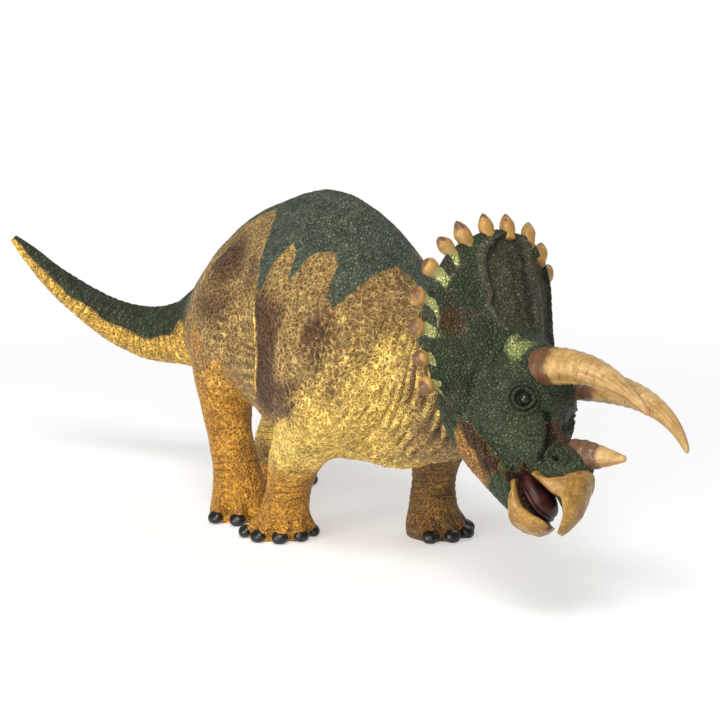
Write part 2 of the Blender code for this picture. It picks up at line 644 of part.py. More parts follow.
skull_clearance = place(skull_mesh("skull_clearance", SEAM_GAP), "skull_clearance", cutters, None, head_place)
jaw_clearance = place(jaw_mesh("jaw_clearance", SEAM_GAP), "jaw_clearance", cutters, None, head_place)
head = place(skull_mesh("head"), "head", figure, paint("painted head", GREEN_COLOUR, 0.55), head_place)
frill = place(frill_mesh(), "frill", cutters, None, head_place)
thicken = frill.modifiers.new("thickness", "SOLIDIFY")
thicken.thickness = FRILL_THICKNESS
thicken.offset = 0
boolean(head, frill, "UNION")
for name, first in (("even_spikes", 0), ("odd_spikes", 1)):
    boolean(head, place(spikes_mesh(name, first), name, cutters, None, head_place), "UNION")
beak_rows = [row for row in SKULL_ROW_SHARES if row[0] >= BEAK_START_SHARE]
beak = loft("beak", band_rows(beak_rows, SKULL_WIDTH), (0, 0, 1), 22, 7, (0, BEAK_STEP), BEAK_STEP)
boolean(head, place(beak, "beak", cutters, None, head_place), "UNION")
for side in (-1, 1):
    lid_at = on_head(EYE_SHARES[0], side * cheek(*EYE_SHARES), EYE_SHARES[1])
    lid_size = (EYELID_WIDTH, EYELID_WIDTH / 3, EYELID_WIDTH * 0.8)
    eyelid = egg("eyelid", lid_at, lid_size, -side * SNOUT_TAPER, 10)
    boolean(head, place(eyelid, f"eyelid_{side}", cutters, None, head_place), "UNION")
    eye_at = lid_at + Vector((0, side * EYELID_WIDTH / 8, 0))
    eye = egg("eye", eye_at, (EYE_WIDTH, EYE_WIDTH * 0.8, EYE_WIDTH * 0.8))
    boolean(head, place(eye, f"eye_{side}", cutters, None, head_place), "UNION")
    skin = on_head(NOSTRIL_SHARES[0], side * cheek(*NOSTRIL_SHARES), NOSTRIL_SHARES[1])
    inward = Vector((0, -side * NOSTRIL_DEPTH, 0))
    nostril = rod("nostril", NOSTRIL_WIDTH, skin + inward, skin - inward, 10)
    boolean(head, place(nostril, f"nostril_{side}", cutters, None, head_place), "DIFFERENCE")
boolean(head, jaw_clearance, "DIFFERENCE")
boolean(head, trunk_skin_grown, "DIFFERENCE")

brow_at = on_head(BROW_HORN_ROOT_SHARES[0], 0, BROW_HORN_ROOT_SHARES[1])
for outward, side in ((-1, "right"), (1, "left")):
    root = brow_at + Vector((0, outward * BROW_HORN_SPREAD / 2, 0))
    tip = root + Vector(BROW_HORN_LEAN_SHARES[side]) * BROW_HORN_LENGTH
    bow = Vector(BROW_HORN_BOW_SHARES) * Vector((1, outward, 1)) * BROW_HORN_ARCH
    make_horn("brow_horn_" + side, root, tip, BROW_HORN_WIDTH, bow)
root = on_head(NOSE_HORN_ROOT_SHARES[0], 0, NOSE_HORN_ROOT_SHARES[1])
tip = root + Vector(NOSE_HORN_LEAN_SHARES) * NOSE_HORN_LENGTH
make_horn("nose_horn", root, tip, NOSE_HORN_WIDTH, Vector((0, 0, 0)))

jaw = place(jaw_mesh("lower_jaw"), "lower_jaw", figure, paint("painted jaw", HORN_COLOUR, 0.45), head_place)
boolean(jaw, trunk_skin_grown, "DIFFERENCE")
tongue = egg("tongue", on_head(*TONGUE_SHARES), (TONGUE_LENGTH, TONGUE_WIDTH, TONGUE_THICKNESS))
tongue = place(tongue, "tongue", figure, paint("painted mouth", MOUTH_COLOUR, 0.3), head_place)
boolean(tongue, skull_clearance, "DIFFERENCE")
boolean(tongue, jaw_clearance, "DIFFERENCE")


def stand_in_middle():
    """Moves the figure so that the middle of its box stands over the origin."""
    graph = bpy.context.evaluated_depsgraph_get()
    points = []
    for piece in figure.objects:
        made = piece.evaluated_get(graph)
        points.extend(made.matrix_world @ vertex.co for vertex in made.data.vertices)
    low, high = np.min(points, axis=0), np.max(points, axis=0)
    shift = Vector((-(low[0] + high[0]) / 2, -(low[1] + high[1]) / 2, 0))
    for piece in [*figure.objects, *cutters.objects]:
        piece.location = piece.location + shift


stand_in_middle()
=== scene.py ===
import json
import math

import bpy
import numpy as np
from mathutils import Euler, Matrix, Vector


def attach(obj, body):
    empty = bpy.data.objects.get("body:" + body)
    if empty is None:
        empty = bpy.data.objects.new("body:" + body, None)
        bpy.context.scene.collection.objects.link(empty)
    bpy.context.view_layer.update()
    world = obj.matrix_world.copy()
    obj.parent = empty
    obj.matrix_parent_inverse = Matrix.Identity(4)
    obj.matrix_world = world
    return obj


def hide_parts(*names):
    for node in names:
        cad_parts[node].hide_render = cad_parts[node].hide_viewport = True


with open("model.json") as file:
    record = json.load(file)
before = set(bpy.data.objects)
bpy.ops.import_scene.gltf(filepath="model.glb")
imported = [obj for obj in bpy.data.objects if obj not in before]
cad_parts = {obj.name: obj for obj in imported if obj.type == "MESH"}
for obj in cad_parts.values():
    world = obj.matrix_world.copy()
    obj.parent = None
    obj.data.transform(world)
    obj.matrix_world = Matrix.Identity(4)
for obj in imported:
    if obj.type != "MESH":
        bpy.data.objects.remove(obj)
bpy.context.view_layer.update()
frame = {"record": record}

# Places are in millimetres, with the soles at height 0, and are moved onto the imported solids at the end
mm = 0.001
soleInLayout = np.array([-3.9, -18.092, 0.0])  # the right fore sole, which is also a mount of the record
mounts = {mount["name"]: mount["pos_m"] for mount in frame["record"]["mounts"]}
layoutShift = np.array(mounts["fore_right_sole"]) / mm - soleInLayout
figure = bpy.data.collections.new("figure")
bpy.context.scene.collection.children.link(figure)
print("frame loaded, layout shift", layoutShift.round(3))


def unit(vectors):
    # the same directions at length 1
    return vectors / np.maximum(np.linalg.norm(vectors, axis=-1, keepdims=True), 1e-9)


def ramp(low, high, values):
    # smooth step: 0 below low, 1 above high, 3t^2 - 2t^3 between them
    t = np.clip((values - low) / (high - low), 0, 1)
    return t * t * (3 - 2 * t)


def hump(values, middle, width):
    # bell curve of height 1
    return np.exp(-(((values - middle) / width) ** 2))


def smoothTable(rows, steps):
    # Catmull-Rom curve through the rows, read at even steps of the row number, all columns at once
    rows = np.array(rows, float)
    ends = np.vstack([2 * rows[0] - rows[1], rows, 2 * rows[-1] - rows[-2]])
    at = np.linspace(0, len(rows) - 1, steps + 1)
    first = np.minimum(at.astype(int), len(rows) - 2)
    t = (at - first)[:, None]
    a, b, c, d = (ends[first + k] for k in range(4))
    return 0.5 * (2 * b + (c - a) * t + (2 * a - 5 * b + 4 * c - d) * t**2 + (3 * b - a - 3 * c + d) * t**3)


def lengthRun(points):
    # length of the line of points up to each one
    return np.concatenate([[0], np.cumsum(np.linalg.norm(np.diff(points, axis=0), axis=1))])


def evenTable(rows, rings, columns=3):
    # the smooth table read again at even steps of the length run by its first columns
    table = smoothTable(rows, 800)
    run = lengthRun(table[:, :columns])
    at = np.linspace(0, run[-1], rings)
    return np.stack([np.interp(at, run, table[:, k]) for k in range(table.shape[1])], 1)


def readRows(at, rows):
    # straight lines between the pairs of a short table
    return np.interp(at, *np.array(rows, float).T)


def fullTurn(steps):
    # even steps of one turn, in radians
    return np.linspace(0, 2 * math.pi, steps, endpoint=False)


def flattened(values, power):
    # a power of the size of each number, with its sign kept
    return np.sign(values) * np.abs(values) ** power


def scatter(cells, seed):
    # three even random numbers from 0 to 1 for each whole-number cell, always the same ones
    cells = cells.astype(np.int64)
    mixed = cells[..., 0] * 374761393 + cells[..., 1] * 668265263 + cells[..., 2] * 1440662683 + seed * 69069
    mixed &= 0xFFFFFFFF
    mixed = ((mixed ^ (mixed >> 13)) * 1274126177) & 0xFFFFFFFF
    mixed ^= mixed >> 16
    return np.stack([(mixed >> step) & 1023 for step in (0, 10, 20)], -1) / 1023.0


def softNoise(points, size, seed):
    # smooth hills from -1 to 1: random heights at the corners of cubes of one size, blended by a smooth step
    scaled = points / size
    cell = np.floor(scaled)
    t = scaled - cell
    t = t * t * (3 - 2 * t)
    total = 0
    for corner in np.ndindex(2, 2, 2):
        weight = np.prod(np.where(corner, t, 1 - t), axis=-1)
        total = total + weight * scatter(cell + corner, seed)[..., 0]
    return total * 2 - 1


def cobbles(points, size, seed):
    # distance to the nearest of random points, one in each cube, and how much further the next one is
    scaled = points / size
    cell = np.floor(scaled)
    near = np.full(points.shape[:-1], 9.0)
    second = near.copy()
    for step in np.ndindex(3, 3, 3):
        neighbour = cell + step - 1
        away = np.linalg.norm(neighbour + 0.12 + 0.76 * scatter(neighbour, seed) - scaled, axis=-1)
        second = np.minimum(second, np.maximum(near, away))
        near = np.minimum(near, away)
    return near, second - near


def gridNormals(grid, middle):
    # cross product of the steps along and round the grid, turned away from the middle line
    sideways = np.roll(grid, -1, 1) - np.roll(grid, 1, 1)
    along = np.gradient(grid, axis=0)
    normal = unit(np.cross(along, sideways))
    away = np.sum(normal * (grid - middle), axis=-1).sum()
    return normal if away > 0 else -normal


def ringFaces(rings, around, first=0):
    # quads between rings of points and a fan to a tip at each end; the two tips follow the rings
    k = np.arange(around)
    n = (k + 1) % around
    here = (np.arange(rings - 1) * around)[:, None] + first
    quads = np.stack([here + k, here + n, here + around + n, here + around + k], -1).reshape(-1, 4)
    end = first + rings * around
    fans = np.vstack([
        np.stack([np.full(around, end), first + n, first + k], 1),
        np.stack([np.full(around, end + 1), end - around + k, end - around + n], 1),
    ])
    return quads, fans


def putSkin(name, grid, tips, material, masks=None):
    # closed mesh from one grid of rings and its two tips
    quads, fans = ringFaces(*grid.shape[:2])
    return putMesh(name, np.vstack([grid.reshape(-1, 3), tips]), quads, fans, material, masks)


def putMesh(name, points, quads, fans, material, masks=None):
    # turns the faces outwards by the sign of the enclosed volume, then fills the mesh in one go
    corners = [quads, fans]
    triangles = np.vstack([quads[:, :3], quads[:, [0, 2, 3]], fans])
    a, b, c = (points[triangles[:, i]] for i in range(3))
    if np.einsum("ij,ij->i", a, np.cross(b, c)).sum() < 0:
        corners = [part[:, ::-1] for part in corners]
    flat = np.concatenate([part.ravel() for part in corners]).astype(np.int32)
    starts = np.concatenate([np.arange(len(quads)) * 4, len(quads) * 4 + np.arange(len(fans)) * 3])
    mesh = bpy.data.meshes.new(name)
    mesh.vertices.add(len(points))
    mesh.vertices.foreach_set("co", ((points + layoutShift) * mm).astype(np.float32).ravel())
    mesh.loops.add(len(flat))
    mesh.loops.foreach_set("vertex_index", flat)
    mesh.polygons.add(len(starts))
    mesh.polygons.foreach_set("loop_start", starts.astype(np.int32))
    mesh.update(calc_edges=True)
    mesh.validate()
    mesh.shade_smooth()
    for layer, values in (masks or {}).items():
        values = np.asarray(values, float).reshape(-1, 3)
        full = np.ones((len(points), 4), np.float32)
        full[: len(values), :3] = values
        full[len(values):, :3] = values[-1]
        made = mesh.attributes.new(layer, "FLOAT_COLOR", "POINT")
        made.data.foreach_set("color", full.ravel())
    mesh.materials.append(material)
    piece = bpy.data.objects.new(name, mesh)
    figure.objects.link(piece)
    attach(piece, "root")
    return piece


def pieceName(node):
    # a piece is called after its CAD node, in camel case
    first, *others = node.split("_")
    return first + "".join(word.title() for word in others)


# Materials: each finish mixes named paints by the masks that the skins carry
def newFinish(name, roughness, coat=0.0, gloss=0.3):
    # a material with the constants that all finishes share
    made = bpy.data.materials.new(name)
    made.use_nodes = True
    shader = made.node_tree.nodes["Principled BSDF"]
    shader.inputs["Roughness"].default_value = roughness
    shader.inputs["Specular IOR Level"].default_value = gloss
    shader.inputs["Coat Weight"].default_value = coat
    shader.inputs["Coat Roughness"].default_value = 0.15
    return made, made.node_tree, shader


def feed(tree, socket, value):
    # links a socket, or sets a plain value
    if isinstance(value, bpy.types.NodeSocket):
        tree.links.new(value, socket)
    else:
        socket.default_value = value


def mixed(tree, share, under, over, blend="MIX"):
    # colour mix of two paints
    node = tree.nodes.new("ShaderNodeMix")
    node.data_type = "RGBA"
    node.blend_type = blend
    for socket, value in ((node.inputs[0], share), (node.inputs[6], under), (node.inputs[7], over)):
        feed(tree, socket, value)
    return node.outputs[2]


def worked(tree, kind, a, b):
    # one arithmetic step on two numbers
    node = tree.nodes.new("ShaderNodeMath")
    node.operation = kind
    feed(tree, node.inputs[0], a)
    feed(tree, node.inputs[1], b)
    return node.outputs[0]


def plus(tree, a, b):
    return worked(tree, "ADD", a, b)


def minus(tree, a, b):
    return worked(tree, "SUBTRACT", a, b)


def times(tree, a, b):
    return worked(tree, "MULTIPLY", a, b)


def ranged(tree, value, low, high, toLow=0.0, toHigh=1.0):
    # smooth step of a number from one range to another
    node = tree.nodes.new("ShaderNodeMapRange")
    node.interpolation_type = "SMOOTHSTEP"
    for socket, given in zip(node.inputs, (value, low, high, toLow, toHigh)):
        feed(tree, socket, given)
    return node.outputs[0]


def noisy(tree, place, size, detail=3.0):
    # random clouds about one size across, in metres
    node = tree.nodes.new("ShaderNodeTexNoise")
    node.inputs["Scale"].default_value = 1 / size
    node.inputs["Detail"].default_value = detail
    node.inputs["Roughness"].default_value = 0.55
    tree.links.new(place, node.inputs["Vector"])
    return node.outputs["Fac"]


def pebbled(tree, place, size, feature="DISTANCE_TO_EDGE", output="Distance"):
    # cells about one size across, in metres: distance from the edge, or a random colour for each cell
    node = tree.nodes.new("ShaderNodeTexVoronoi")
    node.feature = feature
    node.inputs["Scale"].default_value = 1 / size
    tree.links.new(place, node.inputs["Vector"])
    return node.outputs[output]


def bumped(tree, shader, height, strength, depth):
    # fine relief, in metres
    node = tree.nodes.new("ShaderNodeBump")
    node.inputs["Strength"].default_value = strength
    node.inputs["Distance"].default_value = depth
    tree.links.new(height, node.inputs["Height"])
    tree.links.new(node.outputs["Normal"], shader.inputs["Normal"])


def objectPlace(tree):
    return tree.nodes.new("ShaderNodeTexCoord").outputs["Object"]


def channels(tree, colour):
    # a colour as three numbers
    node = tree.nodes.new("ShaderNodeSeparateColor")
    tree.links.new(colour, node.inputs[0])
    return tuple(node.outputs)


def greyOf(tree, value):
    # one number as a grey
    node = tree.nodes.new("ShaderNodeCombineColor")
    for socket in node.inputs:
        tree.links.new(value, socket)
    return node.outputs[0]


def masksOf(tree, layer):
    # the three masks of one layer
    node = tree.nodes.new("ShaderNodeAttribute")
    node.attribute_name = layer
    return channels(tree, node.outputs["Color"])


def mottledFinish(name, roughness, gloss, size, spread, paints, depth):
    # two paints in random clouds, with a shallow relief
    made, tree, shader = newFinish(name, roughness, 0.0, gloss)
    clouds = noisy(tree, objectPlace(tree), size)
    tree.links.new(mixed(tree, ranged(tree, clouds, *spread), *paints), shader.inputs["Base Color"])
    if depth:
        bumped(tree, shader, clouds, 0.5, depth)
    return made


# sizes in metres: clouds of tone, grains, the bend of the net's lines, pebbles, and the cells of the net
hideScale = {
    "clouds": 0.006, "grains": 0.0011, "warp": 0.0022, "bend": 0.0016, "pebble": 0.0010, "cell": 0.00135,
}


def paintedHide(name, paints, roughness=0.5, spread=0.35):
    # vinyl skin: zones of paint with ragged edges, a dark wash in the hollows that is partly the figure's own wash
    # and partly painted shade, a dry brush over what stands proud that is partly the figure's own dry brush and
    # partly painted highlight;
    # one mask blends from pebbles with dark grooves to a light raised net round dark cells
    made, tree, shader = newFinish(name, roughness)
    place = objectPlace(tree)
    zones = (*masksOf(tree, "zonesOne"), *masksOf(tree, "zonesTwo"))
    clouds = noisy(tree, place, hideScale["clouds"])
    grains = noisy(tree, place, hideScale["grains"], 2.0)
    warp = tree.nodes.new("ShaderNodeTexNoise")
    warp.inputs["Scale"].default_value = 1 / hideScale["warp"]
    tree.links.new(place, warp.inputs["Vector"])
    bent = tree.nodes.new("ShaderNodeVectorMath")
    bent.operation = "MULTIPLY_ADD"
    bent.inputs[1].default_value = (hideScale["bend"],) * 3
    tree.links.new(warp.outputs["Color"], bent.inputs[0])
    tree.links.new(place, bent.inputs[2])
    scales = pebbled(tree, place, hideScale["pebble"])
    lines = pebbled(tree, bent.outputs[0], hideScale["cell"])
    ragged = minus(tree, plus(tree, clouds, grains), 1.0)
    # the zones, each over the ones before it
    colour = paints["base"]
    for mask, zone in zip(zones[:4], ("green", "brown", "orange", "pale")):
        edge = plus(tree, mask, times(tree, ragged, 0.42))
        colour = mixed(tree, ranged(tree, edge, 0.18, 0.82), colour, paints[zone])
    colour = mixed(tree, 1.0, colour, greyOf(tree, ranged(tree, clouds, 0.3, 0.7, 0.78, 1.15)), "MULTIPLY")
    # pebbles differ in tone from one to the next
    netShare = ranged(tree, plus(tree, zones[4], times(tree, ragged, 0.3)), 0.3, 0.7)
    pebbleShare = minus(tree, 1.0, netShare)
    chance = channels(tree, pebbled(tree, place, hideScale["pebble"], "F1", "Color"))[0]
    tint = greyOf(tree, ranged(tree, chance, 0.0, 1.0, 1 - spread, 1 + spread))
    colour = mixed(tree, pebbleShare, colour, tint, "MULTIPLY")
    # wash in the hollows: partly the figure's own wash, partly painted shade in the grooves, cells, folds and
    # creases
    groove = ranged(tree, scales, 0.02, 0.16, paints["grooves"], 0.0)
    cells = ranged(tree, lines, 0.07, 0.24)
    fine = plus(tree, times(tree, groove, pebbleShare), times(tree, cells, netShare))
    fine = times(tree, fine, ranged(tree, grains, 0.62, 0.40, 0.5, 1.0))
    hollow = times(tree, worked(tree, "MAXIMUM", zones[5], fine), paints["washShare"])
    brushedAndHighlit = mixed(tree, 1.0, colour, paints["brush"], "MULTIPLY")
    colour = mixed(tree, hollow, colour, mixed(tree, 1.0, colour, paints["wash"], "MULTIPLY"))
    # dry brush over the domes and the net's lines: partly the figure's own dry brush, partly painted highlight on
    # what stands proud
    netLine = times(tree, ranged(tree, lines, 0.02, 0.13, 1.0, 0.0), netShare)
    dome = times(tree, ranged(tree, scales, 0.22, 0.5, 0.0, paints["domes"]), pebbleShare)
    proud = times(tree, plus(tree, netLine, dome), ranged(tree, grains, 0.34, 0.60, 0.25, 1.0))
    proud = times(tree, proud, minus(tree, 1.0, zones[5]))
    colour = mixed(tree, times(tree, proud, paints["brushShare"]), colour, brushedAndHighlit)
    tree.links.new(colour, shader.inputs["Base Color"])
    uneven = ranged(tree, grains, 0.3, 0.7, roughness - 0.1, roughness + 0.12)
    tree.links.new(uneven, shader.inputs["Roughness"])
    domes = times(tree, ranged(tree, scales, 0.0, 0.3), pebbleShare)
    ridges = times(tree, ranged(tree, lines, 0.0, 0.22, 1.0, 0.0), netShare)
    bumped(tree, shader, plus(tree, plus(tree, domes, ridges), times(tree, grains, 0.5)), 1.0, 0.00045)
    return made


# Trunk and tail: middle line, half width, reach up, reach down, and how much narrower the upper half is
bodyShape = {
    "rows": (
        (80.5, -0.9, 62.4, 10.2, 10.2, 11.5, 1.0),
        (70.7, -1.0, 61.4, 15.4, 14.8, 17.2, 1.0),
        (56.0, -0.6, 57.5, 19.8, 19.4, 23.5, 1.1),
        (40.0, 0.0, 53.3, 24.6, 30.5, 25.1, 1.25),
        (22.4, 0.0, 51.2, 29.8, 46.5, 25.3, 1.35),
        (3.2, 0.0, 50.7, 32.0, 53.8, 23.0, 1.35),
        (-17.6, 0.0, 51.2, 29.8, 50.4, 17.4, 1.35),
        (-41.6, 0.0, 52.3, 22.4, 40.2, 14.8, 1.3),
        (-59.2, 0.0, 52.3, 17.0, 25.3, 15.4, 1.15),
        (-69.6, 0.0, 51.7, 12.5, 14.6, 13.7, 1.0),
        (-79.7, -3.4, 48.2, 10.4, 10.9, 10.7, 1.0),
        (-93.1, -11.2, 47.2, 8.4, 8.6, 8.5, 1.0),
        (-104.3, -20.2, 51.9, 6.5, 6.6, 6.5, 1.0),
        (-115.5, -31.0, 62.3, 4.4, 4.5, 4.4, 1.0),
        (-122.2, -38.3, 71.7, 2.7, 2.8, 2.7, 1.0),
        (-125.3, -42.6, 77.2, 1.2, 1.2, 1.2, 1.0),
    ),
    "rings": 490,
    "around": 290,
    "tailFrom": -69.6,  # where the tail's own moulding starts
    "fillet": 3.6,  # width of the smooth joint with a leg
    # the flank's fold over the thigh: how far forward its edge lies at each height
    "stepEdge": ((34, 0.0), (40, 2.0), (47, 4.0), (57.6, 4.6), (66, 2.0), (75, -3.0), (86, -6.0)),
    "stepDepth": 2.6,
    # broad vertical folds in the lower half of the flanks, fading at both ends
    "foldStep": 18.0, "foldDepth": 1.4,
    "foldShares": (
        (-69.6, 0), (-52.8, 0.9), (-32, 0.6), (0, 0.3), (28.8, 0.7), (54.4, 1), (70.4, 0.7), (80.5, 0),
    ),
}
bodyTable = evenTable(bodyShape["rows"], bodyShape["rings"])


def flankStep(points):
    # how far the skin steps in behind the edge of the flank's fold, where the thigh starts
    x, y, z = np.moveaxis(points, -1, 0)
    edge = readRows(z, bodyShape["stepEdge"])
    fade = ramp(34, 46, z) * ramp(86, 72, z) * ramp(-46, -22, x) * ramp(6, 14, np.abs(y))
    return bodyShape["stepDepth"] * fade * ramp(edge + 0.4, edge - 1.2, x)


def bodyGauge(points):
    # distance from the trunk's skin along the ray from its middle line, read in slices across X
    table = bodyTable[::-1]
    yc, zc, half, up, down, peak = (np.interp(points[..., 0], table[:, 0], table[:, k]) for k in range(1, 7))
    dy, dz = points[..., 1] - yc, points[..., 2] - zc
    reach = np.where(dz > 0, up, down)
    power = np.where(dz > 0, 2 / peak, 2)
    share = np.sqrt((np.abs(dy) / half) ** power + (dz / reach) ** 2) + 1e-6
    away = np.hypot(dy, dz) * (1 - 1 / share) + 3 * np.maximum(points[..., 0] - table[-1, 0], 0)
    return away + flankStep(points)


# Legs, in level slices from inside the trunk to the sole: height, middle, half width, reach forward and back
legShapes = {
    "hind_leg_right": {
        "rows": (
            (84.0, -30.0, -13.0, 3.0, 5.0, 5.0),
            (78.0, -28.5, -15.0, 8.0, 15.0, 12.0),
            (68.0, -27.5, -17.8, 10.4, 20.0, 16.5),
            (57.0, -27.6, -19.3, 10.8, 20.5, 17.5),
            (47.0, -30.4, -19.3, 9.8, 14.4, 13.6),
            (38.0, -32.0, -18.8, 8.0, 9.6, 10.0),
            (30.0, -32.4, -18.0, 7.0, 7.8, 8.4),
            (23.5, -31.4, -17.4, 6.7, 7.4, 8.2),
            (16.5, -29.6, -17.0, 7.2, 8.0, 8.3),
            (9.5, -28.2, -16.9, 8.0, 9.2, 8.8),
            (4.0, -27.8, -16.9, 9.0, 9.8, 9.5),
            (1.4, -28.0, -16.9, 9.1, 9.7, 9.8),
            (0.0, -28.0, -16.9, 8.7, 9.3, 9.4),
        ),
        "toes": (-77.0, -36.0, 6.0, 47.0),
    },
    "hind_leg_left": {
        "rows": (
            (84.0, -30.0, 13.0, 3.0, 5.0, 5.0),
            (78.0, -30.0, 15.0, 7.5, 12.0, 12.0),
            (68.0, -29.5, 17.5, 10.2, 16.2, 16.5),
            (57.0, -30.4, 19.3, 10.6, 16.6, 17.5),
            (47.0, -34.0, 19.6, 10.0, 14.6, 15.6),
            (38.0, -41.5, 18.0, 8.6, 11.2, 12.4),
            (30.0, -48.1, 17.4, 7.4, 8.4, 9.6),
            (23.5, -53.1, 17.1, 6.9, 7.4, 8.6),
            (16.5, -56.1, 16.8, 7.2, 8.0, 8.6),
            (9.5, -57.1, 16.7, 8.0, 9.2, 9.0),
            (4.0, -56.7, 16.7, 9.0, 9.8, 9.6),
            (1.4, -56.5, 16.7, 9.1, 9.7, 9.8),
            (0.0, -56.5, 16.7, 8.7, 9.3, 9.4),
        ),
        "toes": (-47.0, -6.0, 36.0, 77.0),
    },
    "fore_leg_right": {
        "rows": (
            (66.0, 45.0, -13.5, 3.0, 5.0, 5.0),
            (61.0, 43.0, -16.0, 7.4, 11.0, 12.0),
            (53.0, 38.5, -18.8, 10.2, 15.0, 18.0),
            (45.0, 32.0, -20.2, 10.8, 16.6, 20.0),
            (37.0, 22.6, -20.8, 10.0, 15.0, 18.0),
            (30.0, 13.8, -20.4, 8.6, 11.4, 13.0),
            (23.0, 7.4, -19.6, 7.2, 7.8, 9.8),
            (16.0, 3.0, -18.8, 6.6, 6.6, 7.8),
            (10.0, 0.4, -18.4, 7.2, 7.0, 7.8),
            (5.0, -1.8, -18.2, 8.4, 8.0, 8.4),
            (1.8, -3.4, -18.1, 9.0, 8.9, 8.8),
            (0.0, -3.9, -18.1, 8.6, 8.6, 8.4),
        ),
        "toes": (-108.0, -70.0, -32.0, 6.0, 44.0),
    },
    "fore_leg_left": {
        "rows": (
            (66.0, 40.0, 13.5, 3.0, 5.0, 5.0),
            (61.0, 39.0, 16.0, 7.4, 11.0, 12.0),
            (53.0, 37.0, 18.8, 10.2, 14.6, 16.0),
            (45.0, 34.0, 20.4, 10.8, 14.6, 15.6),
            (37.0, 30.0, 21.2, 10.0, 12.2, 14.0),
            (30.0, 26.6, 21.4, 8.6, 9.4, 11.2),
            (23.0, 23.9, 21.3, 7.2, 7.0, 9.0),
            (16.0, 22.4, 21.1, 6.6, 6.4, 7.6),
            (10.0, 22.2, 21.0, 7.2, 6.8, 7.8),
            (5.0, 22.6, 20.9, 8.4, 8.0, 8.4),
            (1.8, 23.0, 20.9, 9.0, 8.9, 8.8),
            (0.0, 23.1, 20.9, 8.6, 8.6, 8.4),
        ),
        "toes": (-44.0, -6.0, 32.0, 70.0, 108.0),
    },
}
legDetail = {
    "rings": 300, "around": 260, "fillet": 3.2,
    "toeReach": 2.0, "toeWidth": 2.5, "toeHeight": 3.4, "cleft": 0.7,
}


legTables = {name: evenTable(shape["rows"], legDetail["rings"]) for name, shape in legShapes.items()}


def legGauge(table, points):
    # distance from a leg's skin along the ray from its middle, in level slices
    table = table[::-1]
    xc, yc, half, front, back = (np.interp(points[..., 2], table[:, 0], table[:, k]) for k in range(1, 6))
    dx, dy = points[..., 0] - xc, points[..., 1] - yc
    share = np.sqrt((dy / half) ** 2 + (dx / np.where(dx > 0, front, back)) ** 2) + 1e-6
    return np.hypot(dx, dy) * (1 - 1 / share) + 4 * np.maximum(points[..., 2] - table[-1, 0], 0)


def melded(a, b, width):
    # smooth minimum of two distances, rounded over a width
    h = np.clip(0.5 + 0.5 * (b - a) / width, 0, 1)
    return b * (1 - h) + a * h - width * h * (1 - h)


def meldSkin(grid, outward, own, others, width):
    # moves each point outwards to the rounded joint with its neighbours, and sinks it under them
    # where they stand further out
    start = own(grid)
    moved = grid.copy()
    far = np.zeros(grid.shape[:-1])
    for _ in range(8):
        joint = own(moved)
        for other in others:
            joint = melded(joint, np.maximum(other(moved), 0), width)
        far = np.clip(far - 0.8 * (joint - start), 0, width)
        moved = grid + outward * far[..., None]
    nearest = np.min([other(moved) for other in others], axis=0)
    sunk = ramp(0, 1.2, own(moved) - start - nearest)
    return moved - outward * sunk[..., None]


def makeBodyGrid():
    # rings square to the middle line: four quarter ellipses, the upper two drawn in by the peak
    middle, half, up, down, peak = bodyTable[:, :3], *bodyTable[:, 3:].T
    wave = 1 - np.cos(2 * math.pi * middle[:, 0] / bodyShape["foldStep"])
    folds = readRows(middle[:, 0], bodyShape["foldShares"]) * wave / 2
    half, down = half - bodyShape["foldDepth"] * folds, down - bodyShape["foldDepth"] * folds
    along = unit(np.gradient(middle, axis=0))
    side = unit(np.cross((0, 0, 1.0), along))
    lift = np.cross(along, side)
    turn = fullTurn(bodyShape["around"])
    across = np.cos(turn)[None]
    across = np.where(np.sin(turn) > 0, flattened(across, peak[:, None]), across)
    reach = np.where(np.sin(turn) > 0, up[:, None], down[:, None]) * np.sin(turn)
    out = side[:, None] * (half[:, None] * across)[..., None] + lift[:, None] * reach[..., None]
    out = unit(out) * (np.linalg.norm(out, axis=-1) - flankStep(middle[:, None] + out))[..., None]
    grid = middle[:, None] + out
    legs = [lambda points, table=table: legGauge(table, points) for table in legTables.values()]
    near = slice(0, int(np.argmax(middle[:, 0] < bodyShape["tailFrom"] + 3)))
    grid[near] = meldSkin(grid[near], unit(out)[near], bodyGauge, legs, bodyShape["fillet"])
    return grid, middle


def inReach(heading, toes):
    # 1 between the first and the last toe, 0 round the heel
    middle, spread = (toes[0] + toes[-1]) / 2, (toes[-1] - toes[0]) / 2
    away = np.abs((heading - middle + 180) % 360 - 180)
    return ramp(spread + 4, spread - 8, away)


def makeLegGrid(name):
    # level rings down the leg with a bulge for each toe near the floor
    table = legTables[name]
    level, xc, yc, half, front, back = table.T
    turn = fullTurn(legDetail["around"])
    cosine, sine = np.cos(turn), np.sin(turn)
    reach = np.where(cosine > 0, front[:, None], back[:, None])
    out = np.stack([cosine * reach, sine * half[:, None], np.zeros_like(reach)], -1)
    radius = np.linalg.norm(out, axis=-1)
    heading = np.degrees(np.arctan2(out[..., 1], out[..., 0]))
    toes = 0
    for toe in legShapes[name]["toes"]:
        aside = np.radians((heading - toe + 180) % 360 - 180) * radius
        toes = toes + hump(aside, 0, legDetail["toeWidth"])
    cleft = legDetail["cleft"] * ramp(1.0, 0.2, toes) * inReach(heading, legShapes[name]["toes"])
    above = np.maximum(level, 2.4)[:, None]  # toes are full below this height
    toes = (np.minimum(toes, 1) - cleft) * hump(above, 2.4, legDetail["toeHeight"] * 1.3)
    out = out + unit(out) * (toes * legDetail["toeReach"])[..., None]
    middle = np.stack([xc, yc, level], 1)
    grid = middle[:, None] + out
    own = lambda points: legGauge(table, points)
    upper = level > 16
    grid[upper] = meldSkin(grid[upper], unit(out)[upper], own, [bodyGauge], legDetail["fillet"])
    grid[..., 2] = np.maximum(grid[..., 2], 0)
    return grid, middle


